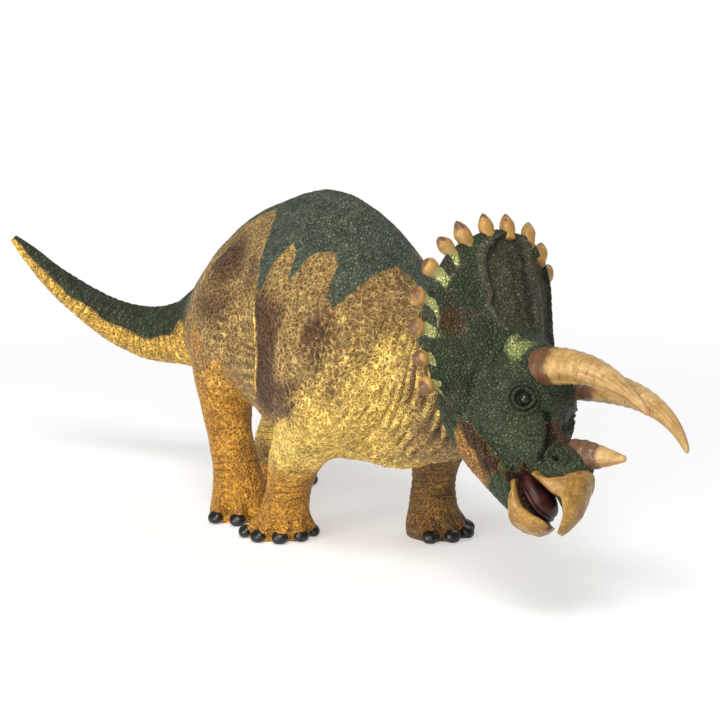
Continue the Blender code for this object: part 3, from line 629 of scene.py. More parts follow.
# Relief of the hide: a raised net round sunken cells on flanks and limbs, pebbles on the back, and folds
relief = {
    "cell": 2.5, "cellDepth": 0.42, "pebble": 1.25, "pebbleDepth": 0.19,
    "fold": 3.6, "foldDepth": 1.5, "wrinkle": 3.0, "wrinkleDepth": 0.7, "lump": 8.0, "lumpHeight": 0.45,
    "tailRing": 2.6, "tailRingDepth": 0.30, "ankleRing": 2.2, "ankleRingDepth": 0.34,
}


def hideRelief(points, cell, pebble, folds):
    # height over the smooth skin, how hollow each place is, which sets the dark wash that is partly painted shade,
    # and how much it is a crest
    warp = np.stack([softNoise(points, 4.5, 11 + k) for k in range(3)], -1) * 0.8
    edge = cobbles(points + warp, relief["cell"], 5)[1]
    net = 1 - ramp(0.04, 0.36, edge)
    edge = cobbles(points + warp * 0.5, relief["pebble"], 9)[1]
    dome = ramp(0.0, 0.42, edge)
    height = cell * relief["cellDepth"] * (net - 0.4) + pebble * relief["pebbleDepth"] * (dome - 0.6)
    hollow = cell * (1 - net) * 0.55 + pebble * (1 - ramp(0.05, 0.22, edge)) * 0.35
    crest = cell * net * 0.8
    for weight, course, size, depth in folds:
        wave = np.abs(np.sin(math.pi * course / size))
        height = height + weight * depth * (wave**0.75 - 0.6)
        hollow = np.maximum(hollow, weight * (1 - ramp(0.12, 0.5, wave)))
        crest = np.maximum(crest, weight * ramp(0.72, 0.97, wave))
    lumps = softNoise(points, relief["lump"], 21) + 0.5 * softNoise(points, relief["lump"] / 2, 22)
    height = height + relief["lumpHeight"] * lumps * 0.6
    return height, np.clip(hollow, 0, 1), np.clip(crest, 0, 1)


def zones(green, brown, orange, pale, brush, hollow):
    # two layers of three masks for the paints
    one = np.stack([np.broadcast_to(mask, hollow.shape) for mask in (green, brown, orange)], -1)
    two = np.stack([np.broadcast_to(mask, hollow.shape) for mask in (pale, brush, hollow)], -1)
    return {"zonesOne": np.clip(one, 0, 1), "zonesTwo": np.clip(two, 0, 1)}


# The grey-green saddle of paint: its lower edge along the right flank, with the fingers that run down from it
saddle = {
    "right": (
        (-66, 62), (-57, 74), (-49, 83), (-41, 89.5), (-30, 94), (-20, 96.5), (-15, 95), (-10.5, 91),
        (-8.4, 86.9), (-7.1, 81.1), (-3.1, 75.1), (0.2, 78), (1.0, 84), (4.6, 91.6), (8.0, 88.5), (9.4, 84),
        (10.4, 80.7), (12.2, 85), (13.8, 88.2), (18.7, 89.1), (22.6, 86.5), (23.8, 82), (24.6, 78.7), (28.5, 74.4),
        (30.6, 79.3), (31.2, 84.2), (32.6, 86.1), (35.9, 84.1), (40.2, 81.3), (45.3, 80.4), (52, 76), (60, 70),
        (84, 60),
    ),
    # the other flank has the same edge, moved forward, and lower behind the shoulder
    "leftShift": 9.0, "leftDrop": 24.0,
}
# Patches of paint on the flanks and thighs, by place alone: forward, up, reach along, reach up, strength
patches = {
    "brown": (
        (8, 56, 9, 17, 1.2), (27, 66, 7, 10, 1.0), (20, 47, 13, 7, 1.25), (4, 71, 9, 8, 0.95),
        (-42, 58, 6, 18, 0.8), (-26, 70, 14, 8, 0.7), (65, 62, 8, 16, 0.5), (68, 44, 7, 9, 0.8),
        (-24, 57, 9, 3, 0.3), (-30, 81, 14, 9, 0.85), (-12, 80, 5, 10, 0.6), (24, 78, 4, 5, 0.5),
    ),
    "ochre": ((17.5, 60, 4.2, 8.5, 0.9), (34, 76, 6, 6, 0.6)),
    "orange": ((-26, 40, 16, 15, 0.85), (-6, 36, 10, 6, 0.7), (6, 33, 12, 5, 0.4), (-32, 56, 7, 8, 0.6)),
    "pale": (
        (52, 55, 10, 20, 0.85), (33, 42, 12, 12, 1.1), (26, 27, 32, 9, 1.1), (16, 32, 8, 12, 1.0),
        (-24, 40, 8, 10, 0.5), (44, 42, 12, 14, 0.9),
    ),
}


def patched(x, z, name):
    # the strongest of the oval bell-shaped patches at each place
    best = 0 * x
    for forward, up, along, high, strength in patches[name]:
        best = np.maximum(best, strength * np.exp(-(((x - forward) / along) ** 2) - ((z - up) / high) ** 2))
    return best


def saddlePaint(points):
    # height over the lower edge of the saddle
    x, y, z = np.moveaxis(points, -1, 0)
    edge = readRows(x - saddle["leftShift"] * ramp(0, 8, y), saddle["right"])
    edge = edge - saddle["leftDrop"] * ramp(1, 14, y) * ramp(22, 32, x)
    return z - edge + 1.2 * softNoise(points, 4, 31) + 0.6 * softNoise(points, 2, 32)


def flankMasks(points, hollow, crest):
    # zones of the trunk and the tops of the legs, by place alone, so that both skins match where they meet
    x, z = points[..., 0], points[..., 2]
    green = ramp(-0.9, 1.1, saddlePaint(points))
    clouds = softNoise(points, 9, 41) + 0.5 * softNoise(points, 4, 42)
    bentX, bentZ = x + 2.5 * clouds, z + 2.5 * softNoise(points, 7, 43)
    brown = patched(bentX, bentZ, "brown") * (1 - patched(bentX, bentZ, "ochre"))
    orange, pale = patched(bentX, bentZ, "orange"), patched(bentX, bentZ, "pale")
    netShare = (1 - 0.9 * green) * (1 - 0.25 * ramp(20, 34, x)) * (1 - 0.2 * ramp(60, 44, z))
    pale = np.maximum(pale, crest * (1 - green) * (0.2 + 0.4 * ramp(80, 60, z)))
    return zones(green, brown * (1 - 0.6 * crest), orange * (1 - 0.5 * crest), pale, netShare, hollow)


def neckCourse(points):
    # curved vertical folds of the chest and neck, furthest forward at mid height
    return points[..., 0] + 0.032 * (points[..., 2] - 61) ** 2 + 1.6 * softNoise(points * (1, 1, 0.35), 9, 51)


crease = ((31.6, 54.7), (34.5, 49.5), (37.5, 45.0), (39.8, 40.8), (41.0, 36.0))  # in front of the shoulder


def creased(points):
    # a groove with a raised edge along the crease line, by the distance from it in the plane of the flank; the
    # second number darkens the groove with the wash, partly painted shade
    x, y, z = np.moveaxis(points, -1, 0)
    line = np.array(crease, float)[::-1]
    aside = x - np.interp(z, line[:, 1], line[:, 0]) + 0.5 * softNoise(points, 3, 57)
    along = ramp(line[0, 1] - 2, line[0, 1] + 3, z) * ramp(line[-1, 1] + 3, line[-1, 1] - 2, z)
    along = along * ramp(4, 12, np.abs(y))
    return along * (0.55 * hump(aside, 1.3, 1.0) - 0.9 * hump(aside, 0, 0.7)), along * hump(aside, 0, 0.8)


def ripples(points):
    # what wrinkles and folds share: where they are interrupted, and the level that wrinkles follow
    breaks = ramp(-0.5, 0.3, softNoise(points, 7, 53))
    return breaks, points[..., 2] + 1.8 * softNoise(points * (0.5, 0.5, 1), 7, 52)


def dressBody(grid, middle):
    # relief, then paint masks, for the trunk and the tail in one go
    normal = gridNormals(grid, middle[:, None])
    x, y, z = np.moveaxis(grid, -1, 0)
    run = lengthRun(middle)[:, None] + 0 * x
    tail = ramp(-58, -76, x)
    back = ramp(-3, 4, saddlePaint(grid)) * (1 - tail)
    neck = ramp(40, 56, x)
    breaks, level = ripples(grid)
    beside = x - readRows(z, bodyShape["stepEdge"])
    thigh = hump(beside, -9, 9) * ramp(0.5, -1.5, beside) * ramp(44, 50, z) * ramp(76, 68, z)
    flank = 0.8 * ramp(32, 42, x) * (1 - neck) * ramp(84, 70, z)
    broken = 0.45 + 0.55 * breaks
    folds = (
        (np.maximum(neck, flank) * broken, neckCourse(grid), relief["fold"], relief["foldDepth"]),
        (0.9 * thigh * breaks, level, relief["wrinkle"], relief["wrinkleDepth"]),
        (tail * broken, run + 1.2 * softNoise(grid, 6, 54), relief["tailRing"], relief["tailRingDepth"]),
    )
    cell = np.clip((0.12 + 0.88 * ramp(16, 34, x)) * (1 - back) - 0.5 * neck, 0.05, 1)
    height, hollow, net = hideRelief(grid, cell, np.clip(back + 0.3 * neck + 0.35 * tail, 0, 1), folds)
    taper = np.interp(run[:, 0], [run[-1, 0] - 30, run[-1, 0]], [1, 0.25])[:, None]
    # the edge of the flank's fold over the thigh: a ridge with a groove behind it; the groove is darkened as
    # painted shade and the ridge painted pale as painted highlight
    there = ramp(44, 50, z) * ramp(78, 72, z) * ramp(6, 14, np.abs(y))
    height = height + there * (0.35 * hump(beside, 0.2, 0.6) - 0.3 * hump(beside, -1.6, 0.8))
    cut, cutHollow = creased(grid)
    height = height + cut
    hollow = np.maximum(hollow, cutHollow)
    # painted shade behind the ridge and below its front, and none on the ridge itself
    hollow = np.maximum(hollow, there * np.maximum(hump(beside, -1.7, 0.9), 0.5 * hump(beside, 2.4, 1.6)))
    hollow = hollow * (1 - there * hump(beside, 0.1, 0.6))
    masks = flankMasks(grid, hollow, net)
    # a pale line along the ridge: painted highlight
    line = there * hump(beside, 0.3, 0.7)
    masks["zonesOne"] = masks["zonesOne"] * (1 - line)[..., None]
    masks["zonesTwo"][..., 0] = np.maximum(masks["zonesTwo"][..., 0], line)
    # the tail is green above and orange below
    top = (z - middle[:, None, 2]) / (bodyTable[:, None, 4] + 0.1) + 0.25 * softNoise(grid, 6, 55)
    green = ramp(0.02, 0.34, top)
    orange, pale = ramp(0.4, -0.3, top), 0.25 * ramp(-0.2, -0.9, top)
    tailMasks = zones(green, 0.25 * breaks, orange, pale, 1 - green, hollow)
    share = ramp(-54, -66, x + 3 * softNoise(grid, 8, 56))[..., None]
    masks = {layer: values * (1 - share) + tailMasks[layer] * share for layer, values in masks.items()}
    return grid + normal * (height * taper)[..., None], masks


# how far each leg's lower part is painted dark, green on the foot, orange, and pale on the shin; the far fore
# leg's dark and green are painted shade of the far side, and the far hind leg's pale, past full strength, is
# partly its own pale paint and partly painted light against the body's shadow
legPaint = {
    "hind_leg_right": {"dark": 0.0, "green": 0.0, "orange": 0.8, "pale": 0.25},
    # the far hind leg: pale past full strength, partly its own pale paint and partly painted light against the
    # body's shadow
    "hind_leg_left": {"dark": 0.0, "green": 0.0, "orange": 0.3, "pale": 1.6},
    "fore_leg_right": {"dark": 0.0, "green": 0.0, "orange": 0.75, "pale": 1.0},
    # the far fore leg: its dark brown and the green on its foot are painted shade of the far side
    "fore_leg_left": {"dark": 0.62, "green": 0.55, "orange": 0.35, "pale": 0.1},
}


def dressLeg(name, grid, middle):
    # relief and paint masks of one leg; the upper part follows the trunk's own rules
    normal = gridNormals(grid, middle[:, None])
    x, z = grid[..., 0], grid[..., 2]
    hind, paint = name.startswith("hind"), legPaint[name]
    breaks, level = ripples(grid)
    rings = z + 0.9 * softNoise(grid, 6, 61) - 0.10 * (x - middle[:, None, 0])
    ankle = 0.9 * hump(z, 17, 8) * (0.5 + 0.5 * breaks)
    thigh = 0.8 * ramp(44, 50, z) * ramp(76, 68, z) * ramp(-26, -18, x) if hind else 0.2 * ramp(24, 34, z)
    folds = [
        (ankle, rings, relief["ankleRing"], relief["ankleRingDepth"]),
        (thigh * breaks, level, relief["wrinkle"], relief["wrinkleDepth"]),
    ]
    if not hind:
        there = 0.55 * ramp(28, 44, x) * ramp(34, 44, z) * (0.45 + 0.55 * breaks)
        folds.append((there, neckCourse(grid), relief["fold"], relief["foldDepth"]))
    cell = (0.05 if hind else 0.9 * ramp(14, 30, x) * ramp(22, 34, z) + 0.05) + 0 * z
    height, hollow, net = hideRelief(grid, cell, 0.4 + 0 * z, folds)
    height = height * ramp(0.0, 1.2, z)
    masks = flankMasks(grid, hollow, net)
    clouds = softNoise(grid, 7, 62) + 0.5 * softNoise(grid, 3, 63)
    foot = ramp(10, 5, z + clouds)
    # the dark share paints the far fore leg brown as painted shade and holds back its orange
    lowMasks = zones(
        paint["green"] * foot, paint["dark"] + 0.3 * ramp(0.3, 0.9, clouds),
        np.maximum(paint["orange"], 0.75 * foot * (1 - paint["dark"])),
        hump(z, 27 if hind else 34, 12) * paint["pale"], 0.52, hollow
    )
    upper = ramp(36, 46, z)[..., None]
    masks = {layer: values * upper + lowMasks[layer] * (1 - upper) for layer, values in masks.items()}
    return grid + normal * height[..., None], masks


# wash and brush are tints: how much of the paint below them they leave in hollows and on crests;
# the wash is partly painted shade and the brush partly painted highlight
hidePaints = {
    "body": {
        "base": (0.335, 0.21, 0.068, 1), "green": (0.090, 0.114, 0.076, 1), "brown": (0.105, 0.052, 0.022, 1),
        "orange": (0.50, 0.235, 0.026, 1), "pale": (0.80, 0.54, 0.125, 1), "wash": (0.20, 0.12, 0.06, 1),
        "washShare": 0.9, "brush": (1.7, 1.75, 1.9, 1), "brushShare": 0.9, "grooves": 0.9, "domes": 1.0,
    },
    "tail": {
        "base": (0.34, 0.19, 0.050, 1), "green": (0.048, 0.062, 0.032, 1), "brown": (0.16, 0.085, 0.030, 1),
        "orange": (0.66, 0.39, 0.065, 1), "pale": (0.60, 0.42, 0.10, 1), "wash": (0.18, 0.13, 0.10, 1),
        "washShare": 0.85, "brush": (2.0, 2.1, 2.1, 1), "brushShare": 0.8, "grooves": 0.85, "domes": 0.8,
    },
}
trunkFinish = paintedHide("painted trunk hide", hidePaints["body"])
tailFinish = paintedHide("painted tail hide", hidePaints["tail"])
legFinish = paintedHide("painted leg hide", hidePaints["body"])

print("making the body")
bodyGrid, bodyMiddle = makeBodyGrid()
bodyGrid, bodyMasks = dressBody(bodyGrid, bodyMiddle)
cut = int(np.argmax(bodyMiddle[:, 0] < bodyShape["tailFrom"]))
trunkMasks = {layer: values[: cut + 1] for layer, values in bodyMasks.items()}
trunkGrid, trunkTips = bodyGrid[: cut + 1], [bodyMiddle[0], bodyMiddle[cut]]
trunkSkin = putSkin("trunkSkin", trunkGrid, trunkTips, trunkFinish, trunkMasks)
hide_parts("trunk")
tailMasks = {layer: values[cut:] for layer, values in bodyMasks.items()}
tailSkin = putSkin("tailSkin", bodyGrid[cut:], [bodyMiddle[cut], bodyMiddle[-1]], tailFinish, tailMasks)
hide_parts("tail")


claws = {"width": 5.0, "height": 3.9, "length": 4.2, "proud": 1.9, "rings": 24, "around": 36}
clawFinish = mottledFinish(
    "black claw", 0.32, 0.5, 0.0016, (0.45, 0.75),
    ((0.006, 0.006, 0.005, 1), (0.022, 0.020, 0.015, 1)), 0.0002
)


def makeClaws(name):
    # each claw is a blunt dome: an egg flattened underneath, set into the tip of a toe
    xc, yc, half, front = legTables[name][-1, 1:5]
    points, quads, fans, count = [], [], [], 0
    rings, around = claws["rings"], claws["around"]
    polar = np.linspace(0, math.pi, rings + 2)[1:-1, None]
    turn = fullTurn(around)[None]
    for toe in legShapes[name]["toes"]:
        heading = math.radians(toe)
        ahead = np.array([math.cos(heading), math.sin(heading), 0])
        side = np.array([-ahead[1], ahead[0], 0])
        foot = np.array([xc, yc, 0]) + ahead * np.hypot(ahead[0] * front, ahead[1] * half)
        middle = foot + ahead * claws["proud"] + np.array([0, 0, claws["height"] * 0.46])
        lean = 0.22 * np.cos(polar)
        along = np.sin(polar) * np.cos(turn) * claws["length"] / 2 - lean * claws["height"] / 2
        across = flattened(np.sin(turn), 0.85) * np.sin(polar) ** 0.8 * claws["width"] / 2
        up = np.cos(polar) * claws["height"] / 2 + 0 * turn
        egg = middle + along[..., None] * ahead + across[..., None] * side + up[..., None] * (0, 0, 1.0)
        egg[..., 2] = np.maximum(egg[..., 2], 0.05)
        tips = middle + np.array([[0, 0, claws["height"] / 2], [0, 0, -claws["height"] / 2]])
        tips[1, 2] = 0.05
        for faces, made in zip((quads, fans), ringFaces(rings, around, count)):
            faces.append(made)
        points += [egg.reshape(-1, 3), tips]
        count += rings * around + 2
    title = pieceName(name).replace("Leg", "") + "Claws"
    piece = putMesh(title, *(np.vstack(part) for part in (points, quads, fans)), clawFinish)


for name in legShapes:
    grid, middle = makeLegGrid(name)
    grid, masks = dressLeg(name, grid, middle)
    grid[-1, :, 2] = 0
    soleRings = np.stack([middle[-1] + (grid[-1] - middle[-1]) * share for share in (0.9, 0.6, 0.3)])
    masks = {layer: np.concatenate([values, np.repeat(values[-1:], 3, 0)]) for layer, values in masks.items()}
    grid = np.concatenate([grid, soleRings])
    leg = putSkin(pieceName(name), grid, [middle[0], middle[-1]], legFinish, masks)
    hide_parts(name)
    makeClaws(name)
print("body, legs and claws are in place")


# The head's own layout: forward along the skull, to its left, and up, from the middle of the frill's root
headPlace = {"origin": (84.93, 7.88, 74.7), "pitch": 34.9, "yaw": 10.7, "roll": 39.0}
headTurn = np.array(Euler((
    -math.radians(headPlace["roll"]), math.radians(headPlace["pitch"]), -math.radians(headPlace["yaw"])
)).to_matrix())


def fromHead(points):
    # from the head's layout to the figure's
    return points @ headTurn.T + np.array(headPlace["origin"])


# Skull and lower jaw, in slices across the head: forward, top, underside, half width
skullShape = {
    "rows": (
        (-7.0, -8.0, -24.0, 8.0), (-4.8, -4.6, -27.0, 12.2), (1.2, 0.7, -30.6, 15.2),
        (9.6, 2.6, -31.8, 16.4), (18.0, 2.6, -31.0, 16.0), (25.2, -0.9, -28.4, 14.3),
        (31.8, -5.0, -24.6, 11.6), (38.4, -5.2, -20.6, 10.0), (44.4, -3.5, -17.2, 9.0),
        (49.2, -4.6, -15.4, 7.6), (53.4, -8.2, -15.0, 5.8), (56.6, -12.2, -15.6, 3.4),
    ),
    "widest": 0.46,  # height of the widest place between underside and top
    "rings": 330, "around": 300, "fillet": 4.0,
}
jawShape = {
    "rows": (
        (5.0, -24.0, -31.0, 7.0), (12.0, -22.5, -33.8, 11.6), (24.0, -20.6, -33.6, 12.0),
        (34.0, -19.6, -31.8, 10.8), (41.0, -19.2, -30.0, 9.9), (46.0, -20.6, -28.6, 9.0),
        (50.0, -21.6, -27.4, 7.4), (53.5, -21.4, -26.2, 5.0),
    ),
    "widest": 0.55, "rings": 210, "around": 200, "fillet": 3.5,
}


def sliceTable(shape):
    # forward, middle height, half width, reach up, reach down
    table = evenTable(shape["rows"], shape["rings"], 2)
    forward, top, under, half = table.T
    middle = under + (top - under) * shape["widest"]
    return np.stack([forward, middle, half, top - middle, middle - under], 1)


skullTable, jawTable = sliceTable(skullShape), sliceTable(jawShape)


def sliceGauge(table, points):
    # distance from the skin along the ray from the middle line, past either end as well
    middle, half, up, down = (np.interp(points[..., 0], table[:, 0], table[:, k]) for k in range(1, 5))
    dy, dz = points[..., 1], points[..., 2] - middle
    share = np.sqrt((dy / half) ** 2 + (dz / np.where(dz > 0, up, down)) ** 2) + 1e-6
    past = np.maximum(points[..., 0] - table[-1, 0], 0) + np.maximum(table[0, 0] - points[..., 0], 0)
    return np.hypot(dy, dz) * (1 - 1 / share) + 3 * past


def sliceGrid(table, around):
    # rings across the head, from above round its left side; the snout's upper half narrows like a roof
    turn = fullTurn(around)[None]
    forward, middle, half, up, down = (column[:, None] for column in table.T)
    reach = np.where(np.cos(turn) > 0, up, down)
    peak = 1 + 0.6 * hump(forward, 34, 9) * (np.cos(turn) > 0)
    across = flattened(np.sin(turn), peak)
    grid = np.stack([forward + 0 * turn, half * across, middle + reach * np.cos(turn)], -1)
    centre = np.stack([table[:, 0], 0 * table[:, 0], table[:, 1]], 1)
    return grid, centre


face = {
    "eye": (25.8, 12.4, -7.4), "eyeSize": 1.75, "lidReach": 7.5, "ring": 1.45,
    "nostril": (45.0, 7.6, -8.4),
    "fold": ((29.5, -5.6), (33.0, -6.3), (37.5, -7.4), (41.0, -9.4), (43.2, -12.0)),
    "foldRidges": ((1.9, 1.1, 1.3), (0, 0.85, -2.1), (-1.8, 1.1, 0.9), (-3.0, 0.9, 0.35), (-5.2, 0.9, 0.35)),
    "hornRoot": (18.9, 8.25, 0.7), "noseRoot": (43.4, -3.9),
    "cheek": (11.0, 16.0, -27.5), "collar": (15.5, 8.25, 2.5),
}


def faceRelief(points):
    # height over the smooth skull, and how hollow each place is; both sides alike
    place = points * np.where(points[..., 1:2] < 0, (1, -1, 1), 1)
    x, y, z = np.moveaxis(place, -1, 0)
    height, hollow = 0 * x, 0 * x
    away = np.linalg.norm(place - np.array(face["eye"]), axis=-1)
    away = away * (1 + 0.08 * softNoise(points, 3, 71))
    lids = ramp(face["lidReach"], 1.5, away)
    rings = np.cos(2 * math.pi * away / face["ring"])
    height += 1.4 * hump(away, 3.0, 1.8) - 1.6 * ramp(2.2, 1.1, away) + 0.7 * lids * rings
    # the grooves between the eye's rings take the dark wash as painted shade
    hollow = np.maximum(hollow, np.clip(1.8 * lids, 0, 1) * ramp(0.3, -0.6, rings))
    brow = hump(x, 21.5, 7) * hump(y, 12.5, 3.2) * hump(z, -1.5, 3.4)
    height += 1.6 * brow
    away = np.linalg.norm(place - np.array(face["nostril"]), axis=-1)
    rings = np.cos(2 * math.pi * away / 1.3)
    height += 0.7 * hump(away, 2.2, 1.0) - 1.7 * ramp(1.5, 0.5, away) + 0.16 * rings * ramp(5, 2, away)
    ringed = 0.8 * ramp(4.5, 2, away) * ramp(0, -0.8, rings)
    hollow = np.maximum(hollow, np.maximum(1.6 * ramp(1.3, 0.7, away), ringed))
    # the fold from the eye to the nostril: a groove between two ridges, and two lower ridges below it
    aside = z - readRows(x, face["fold"]) + 0.5 * softNoise(points, 3, 72)
    along = ramp(27.5, 30.5, x) * ramp(45, 42, x) * ramp(2.2, 4, y)
    for middle, width, lift in face["foldRidges"]:
        height += along * lift * hump(aside, middle, width)
    hollow = np.maximum(hollow, along * hump(aside, 0, 1.1) * 1.4)
    root = np.linalg.norm(place - np.array(face["hornRoot"]), axis=-1)
    height += 1.1 * hump(root, 5.6, 1.5)
    height += 4.0 * hump(np.linalg.norm(place - np.array(face["collar"]), axis=-1), 0, 4.6)
    nose = np.hypot(x - face["noseRoot"][0], y)
    height += 0.9 * hump(nose, 4.6, 1.3) * ramp(-9, -5, z)
    bridge = hump(y, 0, 4.5) * ramp(26, 30, x) * ramp(43, 40, x) * ramp(-12, -6, z)
    height += bridge * 0.55 * softNoise(points, 2.6, 73)
    cheek = np.linalg.norm((place - np.array(face["cheek"])) * (0.8, 1, 1), axis=-1)
    height += 4.2 * hump(cheek, 0, 5.4)
    height += 0.5 * ramp(36, 44, x) * hump(z, -16.6, 0.9)  # lip
    return height, np.clip(hollow, 0, 1)


def headMasks(points, hollow):
    # dark green over the skull, grey-brown along the snout, brown and orange on the cheeks and the throat
    x, y, z = points[..., 0], np.abs(points[..., 1]), points[..., 2]
    clouds = softNoise(points, 6, 74) + 0.5 * softNoise(points, 2.5, 75)
    low = -24.6 + 0.16 * (x - 20) + 1.6 * clouds
    under = ramp(low + 1.0, low - 1.2, z) * ramp(17, 22, x + 0.4 * (z + 26)) * ramp(41, 36, x + 1.2 * clouds)
    mouth = ramp(38, 41, x) * ramp(-15.6, -16.8, z) * ramp(-24, -22, z)
    snout = hump(y, 0, 7) * ramp(28, 33, x) * ramp(-12, -7, z) * ramp(50, 44, x)
    brown = np.maximum(under * hump(z, -25.0, 3.2), snout)
    orange = under * ramp(-26.0, -28.5, z + clouds)
    root = np.linalg.norm(np.stack([x - 12.5, y - 9.2, z + 2.6], -1), axis=-1)
    pale = 0.85 * ramp(7.5, 3.0, root + clouds)
    green = (1 - under) * (1 - mouth)
    return zones(green, np.maximum(brown, mouth), orange, pale, 0.1, np.maximum(hollow, mouth))


hidePaints["head"] = {
    "base": (0.34, 0.20, 0.05, 1), "green": (0.054, 0.074, 0.034, 1), "brown": (0.092, 0.048, 0.020, 1),
    "orange": (0.42, 0.20, 0.045, 1), "pale": (0.36, 0.40, 0.13, 1), "wash": (0.16, 0.16, 0.16, 1),
    "washShare": 0.9, "brush": (2.3, 2.2, 2.0, 1), "brushShare": 0.6, "grooves": 0.9, "domes": 0.8,
}
hidePaints["frill"] = dict(
    hidePaints["head"], brown=(0.108, 0.098, 0.056, 1), orange=(0.085, 0.038, 0.012, 1),
    pale=(0.58, 0.60, 0.22, 1),
)
headFinish = paintedHide("painted head hide", hidePaints["head"], 0.45, spread=0.22)
frillFinish = paintedHide("painted frill hide", hidePaints["frill"], 0.45, spread=0.25)


def throatWave(points):
    # slanting folds across the throat, 2.6 apart
    return np.abs(np.sin(math.pi * (points[..., 2] + 0.35 * points[..., 0] + softNoise(points, 6, 76)) / 2.6))


def makeSkull():
    grid, centre = sliceGrid(skullTable, skullShape["around"])
    outward = unit(grid - centre[:, None])
    own = lambda points: sliceGauge(skullTable, points)
    grid = meldSkin(grid, outward, own, [lambda points: sliceGauge(jawTable, points)], skullShape["fillet"])
    normal = gridNormals(grid, centre[:, None])
    shape, hollow = faceRelief(grid)
    nearRear = ramp(4, 10, grid[..., 0])
    height, cells = hideRelief(grid, 0.15, 0.9, ())[:2]
    throat = ramp(-17, -24, grid[..., 2]) * ramp(8, 20, grid[..., 0])
    wave = throatWave(grid)
    height = height + 0.35 * throat * (wave - 0.6)
    hollow = np.maximum(np.maximum(hollow, cells * 0.8), throat * ramp(0.4, 0.1, wave))
    grid = grid + normal * (height + shape * nearRear)[..., None]
    masks = headMasks(grid, hollow)
    skull = putSkin("skullSkin", fromHead(grid), fromHead(centre[[0, -1]]), headFinish, masks)
    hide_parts("head")


def makeJaw():
    grid, centre = sliceGrid(jawTable, jawShape["around"])
    outward = unit(grid - centre[:, None])
    own = lambda points: sliceGauge(jawTable, points)
    grid = meldSkin(grid, outward, own, [lambda points: sliceGauge(skullTable, points)], jawShape["fillet"])
    normal = gridNormals(grid, centre[:, None])
    height, hollow = hideRelief(grid, 0.25, 0.8, ())[:2]
    wave = throatWave(grid)
    throat = ramp(8, 20, grid[..., 0])
    height = height + 0.35 * throat * (wave - 0.6)
    hollow = np.maximum(hollow * 0.8, throat * ramp(0.4, 0.1, wave))
    grid = grid + normal * height[..., None]
    masks = headMasks(grid, hollow)
    jaw = putSkin("jawSkin", fromHead(grid), fromHead(centre[[0, -1]]), headFinish, masks)
    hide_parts("lower_jaw")


# Frill: lines of its root and its rim on the right side, from the middle down to the lower corner
frillShape = {
    "root": (
        (3.17, 0, -0.7), (5.28, -6.6, -1.74), (7.39, -11.4, -4.5), (9.5, -15, -9.05), (11.6, -16.8, -14.6),
        (14.8, -17.4, -20.2), (17.95, -16.8, -24.4),
    ),
    "rim": (
        (-25.9, 0, 11.5), (-25.1, -8.4, 9.7), (-24, -15.3, 6.6), (-22.2, -20.4, 1.7), (-19, -24.6, -2.3),
        (-13.2, -28.2, -7.3), (-6.6, -30, -12.9), (1.06, -30, -16.9), (8.2, -28.5, -20.2), (14, -25.8, -23),
    ),
    "rings": 430, "around": 230, "thickness": 3.4, "buried": 6.0, "grown": 1.2, "centreShare": 0.35,
    # where the hollow beside the middle rib starts, and where it ends at each height, as shares of the rim
    "ribAside": 0.05, "lobeStart": (0.015, 0.055), "lobeDepth": 2.9,
    "lobeEnd": (
        (0.2, 0.27), (0.33, 0.34), (0.46, 0.355), (0.6, 0.335), (0.73, 0.305), (0.86, 0.27), (0.91, 0.235),
        (0.98, 0.15),
    ),
}


def rimLines(steps):
    # root and grown rim from the right corner through the middle to the left corner, with the middle at steps
    halves = [smoothTable(frillShape[line], steps) for line in ("root", "rim")]
    root, rim = (np.vstack([half[::-1], half[1:] * (1, -1, 1)]) for half in halves)
    centre = root[steps] + (rim[steps] - root[steps]) * frillShape["centreShare"]
    return root, rim + unit(rim - centre) * frillShape["grown"]


def frillLines(rings):
    # both lines at even steps of the rim, and the share of its length at each step
    lines = rimLines(400)
    run = lengthRun(lines[1])
    at = np.linspace(0, run[-1], rings)
    return [np.stack([np.interp(at, run, line[:, k]) for k in range(3)], 1) for line in lines], at / run[-1]


